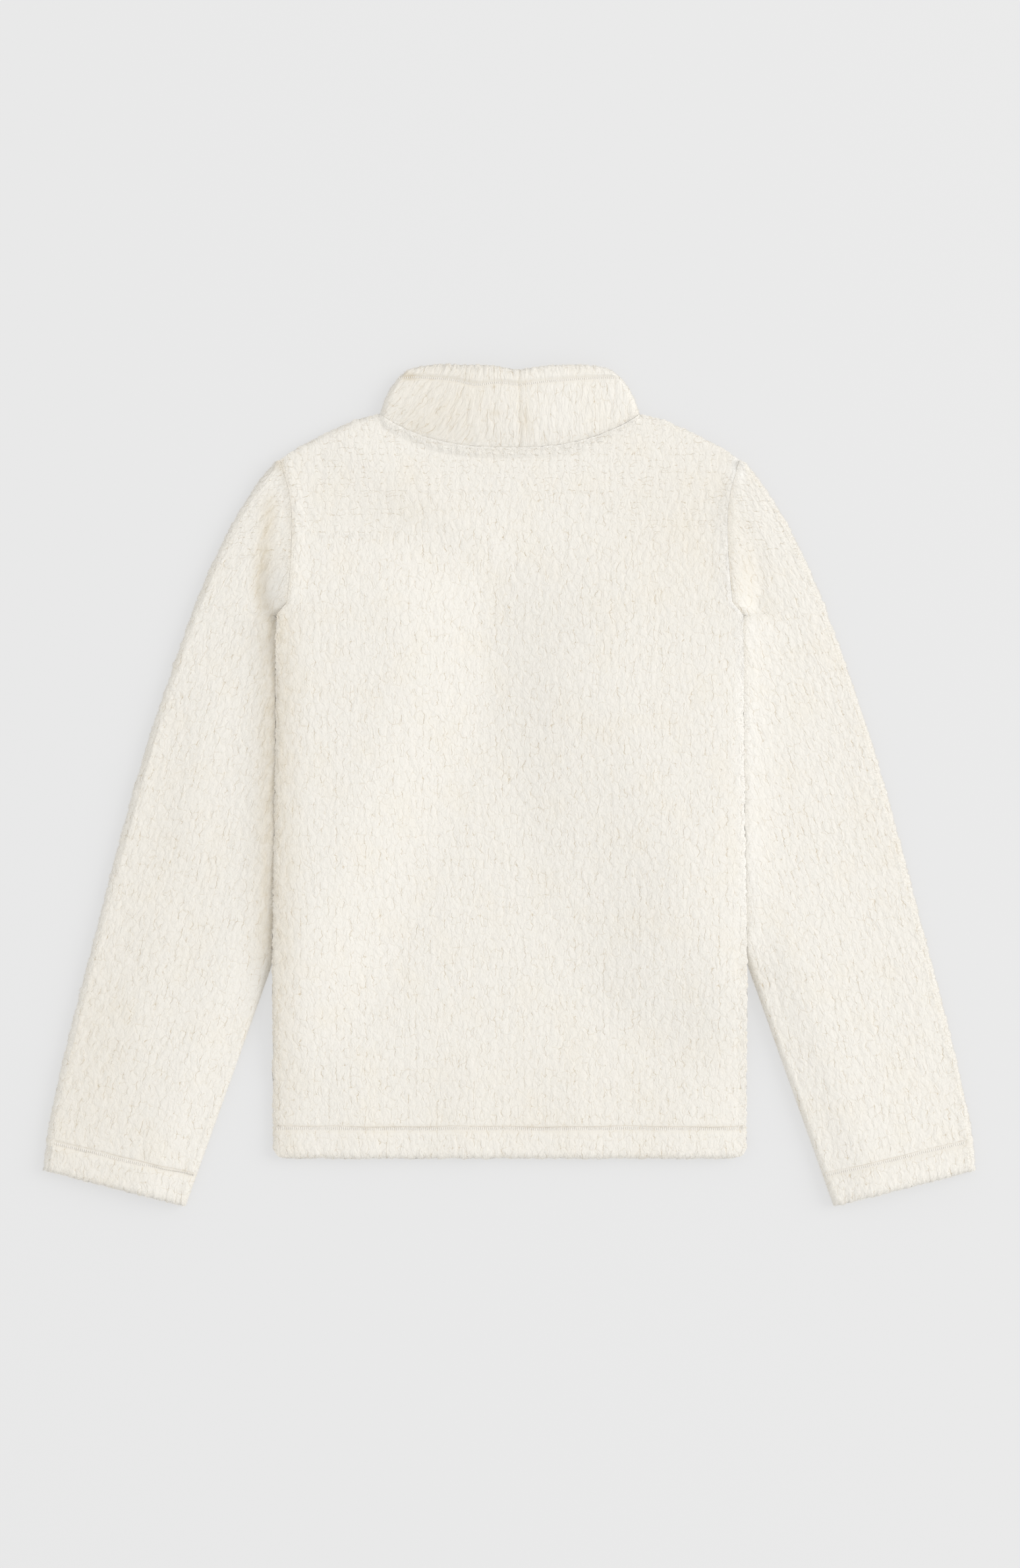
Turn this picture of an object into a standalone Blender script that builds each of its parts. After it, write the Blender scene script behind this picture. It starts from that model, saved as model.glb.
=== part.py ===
"""Pile pullover with a stand collar, laid flat with its back upwards.

Five cut pieces: back, front, two sleeves and a collar. Each is one closed wall of thick pile cloth.
The front lies on the surface, the back lies on the front, and the inner sides of the sleeves are
tucked under the body. +Y points to the collar, +X to the right as seen from above, +Z up.
The origin is on the surface, below the middle of the garment's outline.
"""

import math
from collections import namedtuple

import bmesh
import bpy
import numpy as np

MM = 0.001

# Cloth
CLOTH = 5.0 * MM
PLY_GAP = 0.3 * MM
SEAM_GAP = 0.3 * MM
SLIT = 0.6 * MM
TUBE_HEIGHT = 2 * CLOTH + SLIT

# Body outline
HEM_Y = -310.75 * MM
BACK_SIDE_ROUND = 34.0 * MM
BACK_SQUARE_FROM = 85.0 * MM
FRONT_SIDE_ROUND = 11.0 * MM
FRONT_SQUARE_FROM = 143.0 * MM
SQUARE_AT = 151.0 * MM
HEM_ROUND = 6.0 * MM
HEM_CORNER = 11.0 * MM
SHOULDER_ROUND = 5.0 * MM
EDGE_LIP = 0.3
NECK_HALF = 108.6 * MM
NECK_SIDE_Y = 308.5 * MM
BACK_NECK_Y = 281.0 * MM
FRONT_NECK_Y = 240.0 * MM
NECK_CURVE = 2.6
NECK_STEPS = 12
SHOULDER_TIP_Y = 270.0 * MM
ROWS_BEND_FROM = 214.0 * MM

# Grid of a panel: columns in from each side, rows up from the hem, and rows below the shoulder tip
SIDE_COLUMNS = (0.0, 1.2, 3.6, 7.5, 13.0, 21.0, 34.0)
SHOULDER_STEPS = 4
HEM_ROWS = (0.0, 1.2, 3.6, 9.0, 17.0, 22.3, 24.5, 26.7, 32.0, 45.0)
MIDDLE_ROWS = (-246.0 * MM, 131.0 * MM, 15)
NECK_ROWS = (222.0, 238.0, 253.0, 257.0, 262.0, 264.2, 267.5, 269.0)
ARMHOLE_FOOT = 141.0

# Sewn bands
HEM_BAND = 24.5 * MM
NECK_BAND = 9.0 * MM
COLLAR_BAND = 13.5 * MM
BAND_RISE = 1.2 * MM
GROOVE = 1.0 * MM
GROOVE_HALF = 1.7 * MM
BAND_STEP = 3.0 * MM
NECK_BAND_FADE = 4.0 * MM

# Where the sleeves lie under the body
TUCK_TOP = 134.0 * MM
UNDER_TOP = 146.0 * MM
TUCK_FOOT = -147.4 * MM
TUCK_LIFT = 11.3 * MM
TUCK_MARGIN = 13.0 * MM
TUCK_SLOPE = 92.0 * MM
TUCK_FALL_ABOVE = 1.15
TUCK_FALL_BELOW = 0.9
TUCK_SPREADS = ((-1.0, 1.0), (1.0, 1.4))
SLEEVE_SLANT = 0.94
ARMHOLE_RIDGE = 1.2 * MM
ARMHOLE_RIDGE_REACH = 16.0 * MM
RIDGE_FADE_BELOW_TIP = 24.0 * MM
RIDGE_FADE_ABOVE_TUCK = 22.0 * MM
SLEEVE_CROWN = 4.0 * MM
SLEEVE_FILLET = 3.4 * MM
FILLET_REACH = 18.0 * MM
UNDER_FROM = 0.5 * MM
UNDER_TO = 3.0 * MM
UNDER_FADE = 4.0 * MM
UNDERARM_Y = 137.5
SQUARE_ABOVE_UNDERARM = 3.5
HEAD_HEIGHT = 60.0 * MM
FILLET_FOOT = -165.0 * MM
FILLET_FADE = 40.0 * MM
FREE_STRIP = 30.0 * MM
WIDE_SECTION = 110.0 * MM

# Collar
COLLAR_TOP_Y = 350.5 * MM
COLLAR_CORNER_DROP = 5.0 * MM
COLLAR_CORNER_POWER = 8
COLLAR_CROWN = 1.5 * MM
COLLAR_EDGE_ROUND = 4.0 * MM
COLLAR_DOME = 3.0 * MM
COLLAR_DOME_FROM_SEAM = 0.3
COLLAR_DIP = 5.0 * MM
COLLAR_DIP_REACH = 20.0 * MM
COLLAR_SEAM_X = 8.0 * MM
COLLAR_RINGS = (69.5, 60.0, 48.0, 36.0, 24.0, 15.7, 13.5, 11.3, 6.0, 1.8, 0.0)
COLLAR_HEIGHTS = (0.0, 0.33, 0.59, 0.8, 0.93, 1.0)
COLLAR_HALF_WIDTHS = (108.6, 104.3, 99.8, 94.0, 88.5, 84.5)

Station = namedtuple("Station", "y x")
Row = namedtuple("Row", "inner_x inner_y outer_y rise strip")
Fold = namedtuple("Fold", "from_x from_y to_x to_y half_width height")

# Side edge of the body, from the hem up the side and the armhole to the shoulder tip
BODY_SIDE = (
    Station(-310.75, 196.8),
    Station(-147.0, 196.8),
    Station(0.0, 194.5),
    Station(141.0, 193.5),
    Station(146.0, 189.2),
    Station(151.5, 184.5),
    Station(158.0, 184.0),
    Station(174.0, 182.5),
    Station(194.0, 181.5),
    Station(214.0, 181.0),
    Station(230.0, 181.5),
    Station(246.0, 184.0),
    Station(260.0, 188.0),
    Station(270.0, 191.0),
)

# Shoulder line outwards from the neck, as seen from above
SHOULDER = (
    Station(308.5, 108.6),
    Station(303.5, 129.5),
    Station(292.6, 153.0),
    Station(281.6, 175.0),
    Station(270.0, 191.0),
)

# Outer edge of a sleeve, from the shoulder to the cuff
SLEEVE_OUTER = (
    Station(-322.0, 388.6),
    Station(-279.4, 382.8),
    Station(-224.4, 370.8),
    Station(-169.4, 356.7),
    Station(-114.4, 342.4),
    Station(-59.4, 328.0),
    Station(-4.4, 313.0),
    Station(50.6, 296.5),
    Station(105.6, 277.7),
    Station(149.6, 262.0),
    Station(182.6, 248.3),
    Station(215.6, 232.0),
    Station(237.6, 219.5),
    Station(259.6, 203.5),
    Station(268.5, 196.0),
)

# Inner edge of a sleeve where it is tucked under the body and below it
SLEEVE_INNER = (
    Station(-350.0, 269.8),
    Station(-147.4, 197.2),
    Station(82.0, 113.5),
    Station(100.0, 124.0),
    Station(118.0, 143.0),
    Station(131.0, 165.0),
    Station(137.5, 183.0),
    Station(151.5, 184.5),
)

# Edge of the ground that the tucked sleeve raises
TUCK_EDGE = (
    Station(-350.0, 269.8),
    Station(-147.4, 197.2),
    Station(82.0, 113.5),
)

# Sleeve head: one row for each section from the shoulder tip to the underarm.
# rise is the share of the way up to the body's top face at the seam, strip the width of that slope.
SLEEVE_HEAD = (
    Row(191.0, 270.0, 268.5, 0.0, 4.0),
    Row(188.0, 260.0, 259.0, 1.0, 9.0),
    Row(184.0, 246.0, 245.0, 1.0, 16.0),
    Row(181.5, 230.0, 230.5, 1.0, 22.0),
    Row(181.0, 214.0, 215.0, 1.0, 24.0),
    Row(181.5, 194.0, 196.5, 1.0, 27.0),
    Row(182.5, 174.0, 177.5, 1.0, 28.0),
    Row(184.0, 158.0, 163.0, 1.0, 27.0),
    Row(184.5, 151.5, 157.0, 0.95, 24.0),
    Row(189.2, 146.0, 152.0, 0.75, 18.0),
    Row(193.5, 141.0, 147.5, 0.0, 12.0),
    Row(183.0, 137.5, 143.0, 0.0, 12.0),
    Row(165.0, 131.0, 136.5, 0.0, 28.0),
    Row(143.0, 118.0, 127.0, 0.0, 50.0),
    Row(124.0, 100.0, 113.0, 0.0, 70.0),
    Row(113.5, 82.0, 97.0, 0.0, 80.0),
)

CUFF_INNER_Y = -350.5
CUFF_OUTER_Y = -320.5
# Sections of the sleeve below the underarm, by their distance from the cuff
SLEEVE_SECTIONS = (
    410.0, 385.0, 355.0, 325.0, 295.0, 265.0, 235.0, 205.0, 175.0, 145.0,
    115.0, 85.0, 60.0, 42.0, 30.0, 26.5, 24.5, 22.5, 17.0, 8.0, 2.5, 0.0,
)

# Places over a section: round end, then steps to the body's edge, then shares of the rest; the fold's
# angles; and the places that the lower ply uses
ROUND_SHARES = (0.0, 0.12, 0.45, 1.0)
END_AT_MOST = 0.3
FOLD_AT_MOST = 0.45
STRIP_AT_LEAST = 1.3
STRIP_AT_MOST = 0.8
CUFF_FOLD_SHARE = 0.55
NEAR_STEPS = 4
FAR_SHARES = (0.035, 0.12, 0.3, 0.52, 0.76, 1.0)
FOLD_ANGLES = (67.5, 45.0, 22.5, 0.0, -22.5, -45.0, -67.5)
BOTTOM_STEPS = (13, 10, 7, 5, 3, 2, 1, 0)
CUFF_ROUND = 5.0 * MM

# Soft folds of the back, each a low ridge between two places
BACK_FOLDS = (
    Fold(-128.0, 280.0, -28.0, 200.0, 24.0, 1.7),
    Fold(40.0, 95.0, 44.0, -85.0, 26.0, 1.0),
    Fold(-150.0, -150.0, -160.0, -235.0, 30.0, 1.2),
    Fold(172.0, -140.0, 172.0, -235.0, 30.0, 1.0),
    Fold(148.0, -60.0, 112.0, -160.0, 26.0, 1.1),
    Fold(-122.0, -306.0, -128.0, -235.0, 20.0, 1.0),
    Fold(-38.0, -306.0, -34.0, -245.0, 20.0, 1.1),
    Fold(58.0, -306.0, 54.0, -250.0, 20.0, 0.9),
    Fold(140.0, -306.0, 144.0, -245.0, 20.0, 0.8),
)

# Soft folds of the sleeves, in the same way, for each side
SLEEVE_FOLDS = {
    "sleeve_left": (
        Fold(-250.0, 70.0, -266.0, -40.0, 19.0, 1.3),
        Fold(-300.0, 40.0, -316.0, -40.0, 16.0, 0.8),
        Fold(-290.0, -120.0, -312.0, -210.0, 22.0, 1.2),
    ),
    "sleeve_right": (
        Fold(232.0, 196.0, 262.0, 110.0, 16.0, 1.1),
        Fold(288.0, 60.0, 318.0, -60.0, 20.0, 1.1),
        Fold(330.0, -100.0, 345.0, -200.0, 20.0, 0.8),
    ),
}

PILE_CREAM = (0.83, 0.79, 0.71, 1.0)


def smooth(value):
    """Goes from 0 to 1 with level ends."""
    value = np.clip(value, 0.0, 1.0)
    return value * value * (3.0 - 2.0 * value)


def rounded(distance, radius):
    """Share of full height at a distance in from a rounded edge."""
    inwards = np.clip(distance / radius, 0.0, 1.0)
    return EDGE_LIP + (1.0 - EDGE_LIP) * np.sqrt(1.0 - (1.0 - inwards) ** 2)


def along(stations, y):
    """Outward x of an edge at a height y, both in metres."""
    ordered = sorted(stations)
    return np.interp(y, [s.y * MM for s in ordered], [s.x * MM for s in ordered])


def neck_line(x, lowest):
    """Height of a neckline: stretches between NECK_STEPS stations of one curve."""
    stations = np.linspace(-NECK_HALF, NECK_HALF, NECK_STEPS + 1)
    heights = lowest + (NECK_SIDE_Y - lowest) * np.abs(stations / NECK_HALF) ** NECK_CURVE
    return np.interp(x, stations, heights)


def top_line(x, lowest_neck):
    """Upper edge of a body panel: neckline in the middle, shoulders beside it."""
    shoulder = np.interp(abs(x), [s.x * MM for s in SHOULDER], [s.y * MM for s in SHOULDER])
    return np.where(abs(x) < NECK_HALF, neck_line(x, lowest_neck), shoulder)


def fold_height(x, y, folds):
    """Sum of the soft ridges at a place."""
    height = np.zeros_like(x)
    for fold in folds:
        start = np.array((fold.from_x, fold.from_y)) * MM
        run = np.array((fold.to_x, fold.to_y)) * MM - start
        share = ((x - start[0]) * run[0] + (y - start[1]) * run[1]) / (run @ run)
        share = np.clip(share, 0.0, 1.0)
        distance = np.hypot(x - start[0] - share * run[0], y - start[1] - share * run[1])
        height = height + fold.height * MM * np.exp(-((distance / (fold.half_width * MM)) ** 2))
    return height


def tuck_lift(x, y):
    """How far the tucked sleeves lift the body at a place; on the right the slope is longer."""
    above = np.maximum(y - TUCK_TOP, 0.0) * TUCK_FALL_ABOVE
    below = np.maximum(TUCK_FOOT - y, 0.0) * TUCK_FALL_BELOW
    lying = 1.0
    for side, spread in TUCK_SPREADS:
        beside = np.maximum(along(TUCK_EDGE, y) - side * x, 0.0) * SLEEVE_SLANT / spread
        distance = np.hypot(beside, above + below)
        lying = lying * smooth((distance - TUCK_MARGIN) / TUCK_SLOPE)
    return TUCK_LIFT * (1.0 - lying)


def armhole_ridge(x, y):
    """Rise of the body and the sleeve head towards the armhole seam."""
    from_seam = abs(abs(x) - along(BODY_SIDE, y))
    near = 1.0 - smooth(from_seam / ARMHOLE_RIDGE_REACH)
    below_tip = smooth((SHOULDER_TIP_Y - y) / RIDGE_FADE_BELOW_TIP)
    above_tuck = smooth((y - UNDER_TOP) / RIDGE_FADE_ABOVE_TUCK)
    return ARMHOLE_RIDGE * near * below_tip * above_tuck


def band(distance, width):
    """Fuller cloth in a turned edge, with the groove of its stitching."""
    full = BAND_RISE * smooth((width - distance) / BAND_STEP)
    groove = GROOVE * np.exp(-(((distance - width) / GROOVE_HALF) ** 2))
    return full - groove


def back_lower_face(x, y):
    """Height of the back's lower face."""
    return tuck_lift(x, y) + CLOTH + PLY_GAP + fold_height(x, y, BACK_FOLDS) + armhole_ridge(x, y)


def panel_columns(left, right, neck_left, neck_right):
    """Places across a panel: finer at its sides, one at each station of the neckline."""
    edge = np.array(SIDE_COLUMNS) * MM
    left_part = np.linspace(left + edge[-1], neck_left, SHOULDER_STEPS + 1)[1:-1]
    right_part = np.linspace(neck_right, right - edge[-1], SHOULDER_STEPS + 1)[1:-1]
    middle = np.linspace(neck_left, neck_right, NECK_STEPS + 1)
    return np.concatenate((left + edge, left_part, middle, right_part, right - edge[::-1]))


def panel_plan(lowest_neck):
    """Plan of a body panel: x and y of its grid, row by row from the hem to the top."""
    hem_rows = np.array(HEM_ROWS) * MM + HEM_Y
    middle_rows = np.linspace(*MIDDLE_ROWS)
    head_rows = np.array([s.y for s in BODY_SIDE if s.y >= ARMHOLE_FOOT]) * MM
    neck_rows = np.array(NECK_ROWS) * MM
    rows = np.unique(np.concatenate((hem_rows, middle_rows, head_rows, neck_rows)).round(6))
    tip = along(BODY_SIDE, SHOULDER_TIP_Y)
    top_columns = panel_columns(-tip, tip, -NECK_HALF, NECK_HALF)
    top = top_line(top_columns, lowest_neck) - SEAM_GAP / 2
    plan_x, plan_y = [], []
    for row in rows:
        bend = max(row - ROWS_BEND_FROM, 0.0) / (SHOULDER_TIP_Y - ROWS_BEND_FROM)
        side = float(along(BODY_SIDE, row))
        row_y = row + (top - SHOULDER_TIP_Y) * bend
        shoulder_share = NECK_HALF / tip
        neck = NECK_HALF * bend + side * shoulder_share * (1.0 - bend)
        row_x = panel_columns(-side, side, -neck, neck)
        corner = 1.0 - np.sqrt(np.clip(1.0 - (1.0 - (row - HEM_Y) / HEM_CORNER) ** 2, 0.0, 1.0))
        if row - HEM_Y < HEM_CORNER:
            row_x = row_x * (1.0 - corner * HEM_CORNER / side)
        plan_x.append(row_x)
        plan_y.append(row_y)
    return np.array(plan_x), np.array(plan_y), rows, top


def edge_share(plan_x, plan_y, rows, top, side_round, square_from):
    """Share of the cloth's full height near the hem, the sides and the shoulders."""
    side = along(BODY_SIDE, rows)[:, None]
    seam_rows = smooth((rows - square_from) / (SQUARE_AT - square_from))[:, None]
    from_side = (side - abs(plan_x)) + seam_rows * side_round
    from_hem = plan_y - HEM_Y
    outside_neck = abs(plan_x[-1]) > NECK_HALF - 1.0e-6
    from_top = np.where(outside_neck[None, :], top[None, :] - plan_y, SHOULDER_ROUND)
    share = rounded(from_side, side_round) * rounded(from_hem, HEM_ROUND)
    return np.maximum(share * rounded(from_top, SHOULDER_ROUND), EDGE_LIP)


def sheet_mesh(name, outer, inner, closed=False):
    """One closed wall between two grids of points; closed joins the last column to the first."""
    mesh = bpy.data.meshes.new(name)
    shell = bmesh.new()
    grids = []
    for grid in (outer, inner):
        grids.append([[shell.verts.new(point) for point in row] for row in grid])
    rows, columns = len(outer), len(outer[0])
    steps = columns if closed else columns - 1
    out, back = grids
    for r in range(rows - 1):
        for c in range(steps):
            n = (c + 1) % columns
            shell.faces.new((out[r][c], out[r][n], out[r + 1][n], out[r + 1][c]))
            shell.faces.new((back[r][c], back[r + 1][c], back[r + 1][n], back[r][n]))
    for c in range(steps):
        n = (c + 1) % columns
        shell.faces.new((out[0][n], out[0][c], back[0][c], back[0][n]))
        shell.faces.new((out[-1][c], out[-1][n], back[-1][n], back[-1][c]))
    if not closed:
        for r in range(rows - 1):
            shell.faces.new((out[r][0], out[r + 1][0], back[r + 1][0], back[r][0]))
            shell.faces.new((out[r + 1][-1], out[r][-1], back[r][-1], back[r + 1][-1]))
    bmesh.ops.recalc_face_normals(shell, faces=shell.faces)
    bmesh.ops.triangulate(shell, faces=shell.faces, quad_method="FIXED")
    shell.to_mesh(mesh)
    shell.free()
    mesh.shade_smooth()
    mesh.set_sharp_from_angle(angle=math.radians(50.0))
    return mesh


def place(name, mesh, collection):
    """Puts a piece in the collection with its own pile cloth."""
    piece = bpy.data.objects.new(name, mesh)
    collection.objects.link(piece)
    cloth = bpy.data.materials.new(name + "_pile")
    cloth.use_nodes = True
    shader = cloth.node_tree.nodes["Principled BSDF"]
    shader.inputs["Base Color"].default_value = PILE_CREAM
    shader.inputs["Roughness"].default_value = 0.95
    shader.inputs["Metallic"].default_value = 0.0
    cloth.diffuse_color = PILE_CREAM
    mesh.materials.append(cloth)
    return piece


def points(x, y, z):
    """Grid of points from three grids of numbers."""
    return np.stack((x, y, z), axis=-1)


def make_back(collection):
    """The uppermost panel: folds, turned hem and the band below the neck seam."""
    x, y, rows, top = panel_plan(BACK_NECK_Y)
    low = back_lower_face(x, y)
    full = CLOTH + band(y - HEM_Y, HEM_BAND)
    in_neck = smooth((NECK_HALF - abs(x)) / NECK_BAND_FADE)
    full = full + in_neck * band(top[None, :] - y, NECK_BAND)
    high = low + full * edge_share(x, y, rows, top, BACK_SIDE_ROUND, BACK_SQUARE_FROM)
    place("back", sheet_mesh("back", points(x, y, high), points(x, y, low)), collection)


def make_front(collection):
    """The panel on the surface, lifted at its sides by the tucked sleeves."""
    x, y, rows, top = panel_plan(FRONT_NECK_Y)
    floor = tuck_lift(x, y)
    high = floor + CLOTH
    low = high - CLOTH * edge_share(x, y, rows, top, FRONT_SIDE_ROUND, FRONT_SQUARE_FROM)
    place("front", sheet_mesh("front", points(x, y, high), points(x, y, low)), collection)


def sleeve_rows():
    """Sections of a sleeve: inner end, outer end, rise, strip width and distance from the cuff."""
    sections = []
    for row in SLEEVE_HEAD:
        gap = SEAM_GAP if row.inner_y > UNDERARM_Y else 0.0
        inner = np.array((row.inner_x * MM + gap, row.inner_y * MM))
        outer = np.array((float(along(SLEEVE_OUTER, row.outer_y * MM)), row.outer_y * MM))
        seam = smooth((row.inner_y - UNDERARM_Y) / SQUARE_ABOVE_UNDERARM)
        sections.append((inner, outer, row.rise, row.strip * MM, 1.0, float(seam)))
    last = SLEEVE_HEAD[-1]
    length = last.inner_y - CUFF_INNER_Y
    for from_cuff in SLEEVE_SECTIONS:
        share = from_cuff / length
        inner_y = (CUFF_INNER_Y + share * length) * MM
        outer_y = (CUFF_OUTER_Y + share * (last.outer_y - CUFF_OUTER_Y)) * MM
        inner = np.array((float(along(SLEEVE_INNER, inner_y)), inner_y))
        outer = np.array((float(along(SLEEVE_OUTER, outer_y)), outer_y))
        sections.append((inner, outer, 0.0, 0.0, from_cuff * MM, 0.0))
    return sections


def edge_place(inner, direction):
    """Distance along a section from its inner end to the body's side edge."""
    place = (along(BODY_SIDE, inner[1]) - inner[0]) / direction[0]
    return (along(BODY_SIDE, inner[1] + direction[1] * place) - inner[0]) / direction[0]


def sleeve_swell(x, y, flat, strip, length, rise, side, folds):
    """How far a sleeve's upper ply stands over its flat lie: crown, folds, and the rise beside the body."""
    beside_body = x - along(BODY_SIDE, y)
    under = smooth((UNDER_TO - beside_body) / (UNDER_TO - UNDER_FROM)) * smooth((UNDER_TOP - y) / UNDER_FADE)
    in_head = smooth((y[0] - UNDERARM_Y * MM) / HEAD_HEIGHT)
    lead = strip + (1.0 - in_head) * max(FREE_STRIP - strip, 0.0)
    beyond = np.clip((flat - lead) / (length - lead), 0.0, 1.0)
    crown = SLEEVE_CROWN * min(length / WIDE_SECTION, 1.0) * smooth(flat / lead) * (1.0 - beyond)
    fillet = SLEEVE_FILLET * np.exp(-((np.maximum(beside_body, 0.0) / FILLET_REACH) ** 2)) * (1.0 - rise)
    fillet = fillet * smooth((y - FILLET_FOOT) / FILLET_FADE)
    return (crown + fillet + fold_height(side * x, y, folds)) * (1.0 - under)


def sleeve_section(section, side, folds):
    """Outer and inner outline of one section, from the top ply's end round to the bottom ply's."""
    inner, outer, rise, strip, from_cuff, seam = section
    length = np.linalg.norm(outer - inner)
    radius = TUBE_HEIGHT / 2
    end_reach = min(radius, END_AT_MOST * length)
    fold_reach = min(radius, FOLD_AT_MOST * length)
    direction = (outer - inner) / length
    if rise == 0.0 and seam == 0.0:
        strip = edge_place(inner, direction) + PLY_GAP
    strip = min(max(strip, end_reach * STRIP_AT_LEAST), (length - fold_reach) * STRIP_AT_MOST)
    near = np.linspace(end_reach, strip, NEAR_STEPS + 1)[1:]
    far = strip + np.array(FAR_SHARES) * (length - fold_reach - strip)
    flat = np.concatenate((np.array(ROUND_SHARES) * end_reach, near, far))
    from_edge = np.clip(flat / end_reach, 0.0, 1.0)
    round_share = np.sqrt(1.0 - (1.0 - from_edge) ** 2)

    # The ends stand square at the armhole seam and close round at the underarm seam
    half_gap = SEAM_GAP / 2
    round_high = radius + half_gap + (radius - half_gap) * round_share
    round_slit = radius + half_gap + (SLIT / 2 - half_gap) * round_share
    plan = inner[None, :] + direction[None, :] * flat[:, None]
    swell = sleeve_swell(plan[:, 0], plan[:, 1], flat, strip, length, rise, side, folds)
    seam_high = back_lower_face(np.array((side * inner[0],)), np.array((inner[1],)))[0] + CLOTH
    climb = rise * (seam_high - TUBE_HEIGHT) * (1.0 - np.clip(flat / strip, 0.0, 1.0) ** 2) ** 2
    high = seam * TUBE_HEIGHT + (1.0 - seam) * round_high + swell + climb
    slit_top = seam * (CLOTH + SLIT) + (1.0 - seam) * round_slit + swell
    slit_flat = flat + (1.0 - seam) * (CLOTH * (1.0 - from_edge))

    # Turned cuff: fuller band, groove of the stitching and a round edge
    edge = rounded(from_cuff, CUFF_ROUND)
    high = slit_top + (high - slit_top + band(from_cuff, HEM_BAND) * round_share) * edge

    angles = np.radians(FOLD_ANGLES)
    fold_along = length - fold_reach + fold_reach * np.cos(angles)
    fold_high = radius + (radius * (CUFF_FOLD_SHARE + (1.0 - CUFF_FOLD_SHARE) * edge)) * np.sin(angles)
    core_along = length - fold_reach + SLIT / 2 * np.cos(angles)
    core_high = radius + SLIT / 2 * np.sin(angles)

    bottom = flat[list(BOTTOM_STEPS)]
    low_share = np.interp(bottom, flat, round_share)
    low = (1.0 - seam) * (radius - half_gap) * (1.0 - low_share)
    low = CLOTH - (CLOTH - low) * edge
    low_slit = seam * CLOTH + (1.0 - seam) * (radius - half_gap - (SLIT / 2 - half_gap) * low_share)
    bottom_slit = bottom + (1.0 - seam) * (CLOTH * (1.0 - np.interp(bottom, flat, from_edge)))

    outline = (
        np.concatenate((flat, fold_along, bottom)),
        np.concatenate((high, fold_high, low)),
    )
    lining = (
        np.concatenate((slit_flat, core_along, bottom_slit)),
        np.concatenate((slit_top, core_high, low_slit)),
    )
    grids = []
    for distance, height in (outline, lining):
        plan = inner[None, :] + direction[None, :] * distance[:, None]
        grids.append(points(side * plan[:, 0], plan[:, 1], height))
    return grids


def make_sleeve(name, side, collection):
    """A tube lying flat: open at the armhole, sewn along the underarm, with a turned cuff."""
    outline, lining = [], []
    for section in sleeve_rows():
        outer, inner = sleeve_section(section, side, SLEEVE_FOLDS[name])
        outline.append(outer)
        lining.append(inner)
    place(name, sheet_mesh(name, outline, lining), collection)


def collar_y(x, side, lowest, height):
    """Height of a collar ring between its neck seam and its top edge."""
    seam = neck_line(x * NECK_HALF / side, lowest) + SEAM_GAP / 2
    dip = COLLAR_DIP * np.exp(-np.abs(x - COLLAR_SEAM_X) / COLLAR_DIP_REACH)
    top = COLLAR_TOP_Y - COLLAR_CORNER_DROP * np.abs(x / side) ** COLLAR_CORNER_POWER - dip
    return seam + (top - seam) * height


def collar_ring(from_top):
    """One ring of the collar at a share of its height below the top edge."""
    height = 1.0 - from_top
    side = np.interp(height, COLLAR_HEIGHTS, COLLAR_HALF_WIDTHS) * MM
    radius = TUBE_HEIGHT / 2
    ends = np.array(ROUND_SHARES) * radius
    middle = np.linspace(-side, side, NECK_STEPS + 1)[1:-1]
    x = np.concatenate((-side + ends, middle, side - ends[::-1]))
    reach = np.clip(np.minimum(x + side, side - x) / radius, 0.0, 1.0)
    share = np.sqrt(1.0 - (1.0 - reach) ** 2)
    inner_x = x - np.sign(x) * CLOTH * (1.0 - reach)
    depth = (COLLAR_TOP_Y - BACK_NECK_Y) * from_top
    edge = rounded(depth, COLLAR_EDGE_ROUND)
    full = CLOTH + COLLAR_CROWN * math.sin(math.pi * from_top) + band(depth, COLLAR_BAND)
    outline, lining = [], []
    for lowest, sign in ((BACK_NECK_Y, 1.0), (FRONT_NECK_Y, -1.0)):
        thick = (full if sign > 0.0 else CLOTH) * edge
        dome = COLLAR_DOME * np.cos(0.5 * math.pi * x / side) * smooth(height / COLLAR_DOME_FROM_SEAM)
        dome = dome if sign > 0.0 else 0.0
        outer_z = radius + sign * (SLIT / 2 + thick) * share + dome
        inner_z = radius + sign * SLIT / 2 * share + dome
        outer_row = points(x, collar_y(x, side, lowest, height), outer_z)
        inner_row = points(inner_x, collar_y(inner_x, side, lowest, height), inner_z)
        if sign < 0.0:
            outer_row, inner_row = outer_row[-2:0:-1], inner_row[-2:0:-1]
        outline.append(outer_row)
        lining.append(inner_row)
    return np.concatenate(outline), np.concatenate(lining)


def make_collar(collection):
    """The stand collar: a strip closed round the neck, lying flat, its top edge turned in."""
    depth = COLLAR_TOP_Y - BACK_NECK_Y
    rings = [collar_ring(distance * MM / depth) for distance in COLLAR_RINGS]
    outline = [ring[0] for ring in rings]
    lining = [ring[1] for ring in rings]
    place("collar", sheet_mesh("collar", outline, lining, closed=True), collection)


def main():
    """Clears the scene and makes the five pieces."""
    for leftover in list(bpy.data.objects):
        bpy.data.objects.remove(leftover, do_unlink=True)
    collection = bpy.data.collections.new("pile_pullover")
    bpy.context.scene.collection.children.link(collection)
    make_front(collection)
    make_back(collection)
    make_sleeve("sleeve_left", -1.0, collection)
    make_sleeve("sleeve_right", 1.0, collection)
    make_collar(collection)


main()
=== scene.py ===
"""Looks of a cream pile pullover with a stand collar, laid flat with its back upwards.

Each cut piece is a fine shell over its solid in the frame. Geometry Nodes raise the curls of the pile on
it, stand loose fibres along its edges and sew the hems. The materials add the gaps between the curls,
small flecks and a soft sheen; their colour paints shade into the gaps and into set places such as the
left side, the valleys beside the sleeves and the seams, and paints highlight into others on the right.
"""

import math
from collections import namedtuple

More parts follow.
